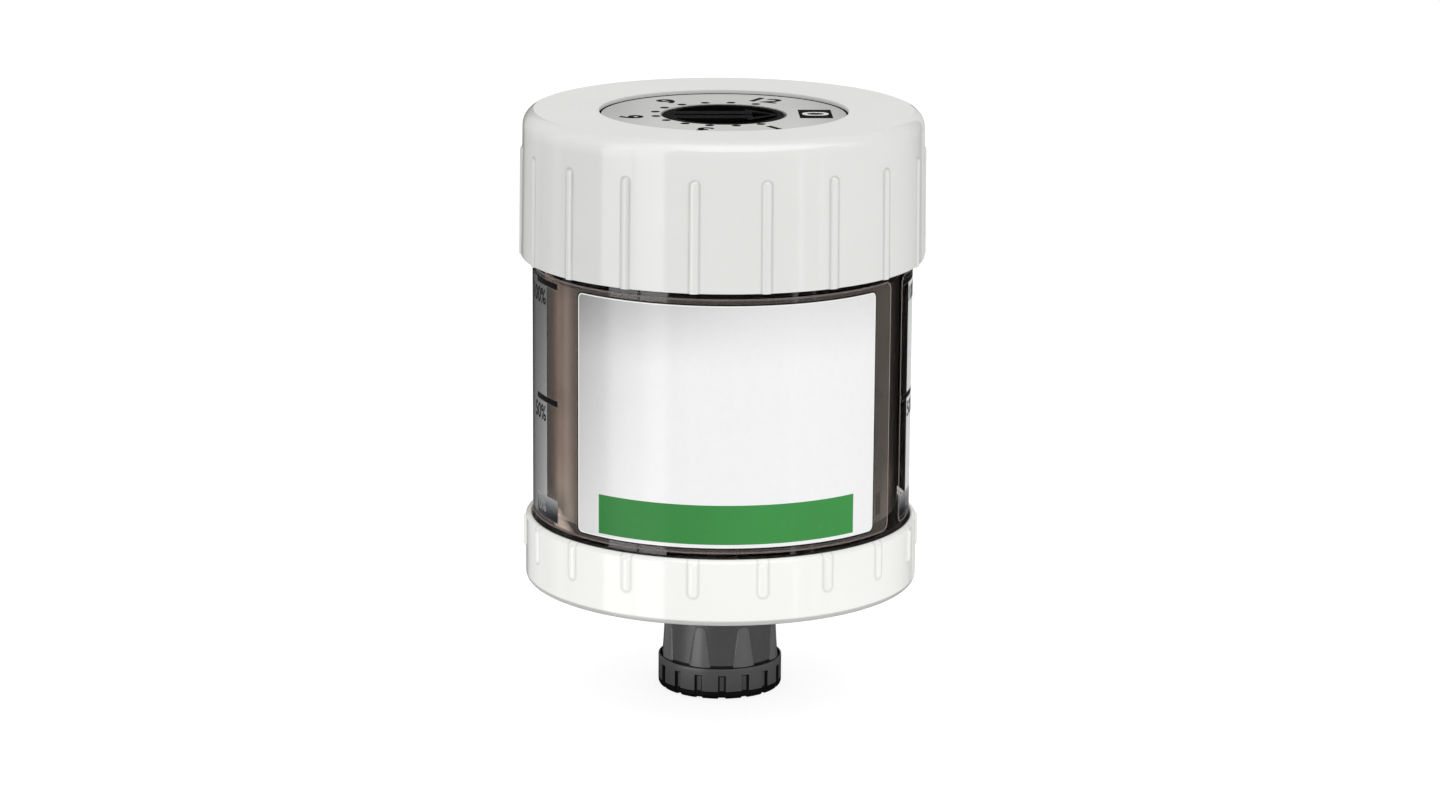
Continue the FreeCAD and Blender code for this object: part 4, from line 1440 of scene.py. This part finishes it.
# the pale floor that is seen, and under it the sheet that sends light back up
floor = floor_sheet("floor", 0.0, 0.30, 0.84)
floor.visible_diffuse = False
floor.visible_transmission = False
floor.visible_shadow = False
bounce = floor_sheet("floor_bounce", -0.0006, 0.60, 0.52)
bounce.visible_camera = False

world = bpy.data.worlds.new("studio")
bpy.context.scene.world = world
world.use_nodes = True
wn = world.node_tree.nodes
wn["Background"].inputs[0].default_value = (1.0, 1.0, 1.0, 1)
wn["Background"].inputs[1].default_value = 0.84
world.cycles_visibility.glossy = False


def area(name, loc, target, sx, sy, power, colour=(1, 1, 1)):
    la = bpy.data.lights.new(name, "AREA")
    la.shape = "RECTANGLE"
    la.size, la.size_y = sx, sy
    la.energy = power
    la.color = colour
    ob = bpy.data.objects.new(name, la)
    bpy.context.scene.collection.objects.link(ob)
    ob.location = loc
    d = Vector(target) - Vector(loc)
    ob.rotation_mode = "QUATERNION"
    ob.rotation_quaternion = d.to_track_quat("-Z", "Y")
    ob.visible_camera = False
    ob.visible_glossy = False
    return ob


area("light_overhead", (0.0, -0.15, 1.4), (0, 0, 0.05), 1.5, 1.1, 4.4)
area("light_right", (1.15, -0.65, 0.35), (0, 0, 0.055), 0.8, 0.9, 0.6)

# ---------------------------------------------------------------------------
# camera at the photograph's place
# ---------------------------------------------------------------------------
d, h, p, q, roll = 726.83, 223.67, 0.2333, -0.0004, 0.0072
az = CAM_AZ * RAD
cam_data = bpy.data.cameras.new("photo_camera")
cam = bpy.data.objects.new("photo_camera", cam_data)
bpy.context.scene.collection.objects.link(cam)
fw = Vector((math.sin(q) * math.cos(p), math.cos(q) * math.cos(p), -math.sin(p)))
right = fw.cross(Vector((0, 0, 1))).normalized()
up = right.cross(fw)
c, s = math.cos(roll), math.sin(roll)
right, up = right * c + up * s, up * c - right * s
spin = Matrix.Rotation(az, 3, "Z")
fw, right, up = spin @ fw, spin @ right, spin @ up
loc = Vector((d * math.sin(az), -d * math.cos(az), h)) * MM
m = Matrix(((right.x, up.x, -fw.x, loc.x), (right.y, up.y, -fw.y, loc.y),
            (right.z, up.z, -fw.z, loc.z), (0, 0, 0, 1)))
cam.matrix_world = m
cam_data.lens = 107.62
cam_data.sensor_fit = "HORIZONTAL"
cam_data.sensor_width = 36.0
cam_data.clip_start = 0.05
cam_data.clip_end = 50.0
bpy.context.scene.camera = cam
bpy.context.scene.view_settings.view_transform = "Standard"
bpy.context.scene.view_settings.look = "None"
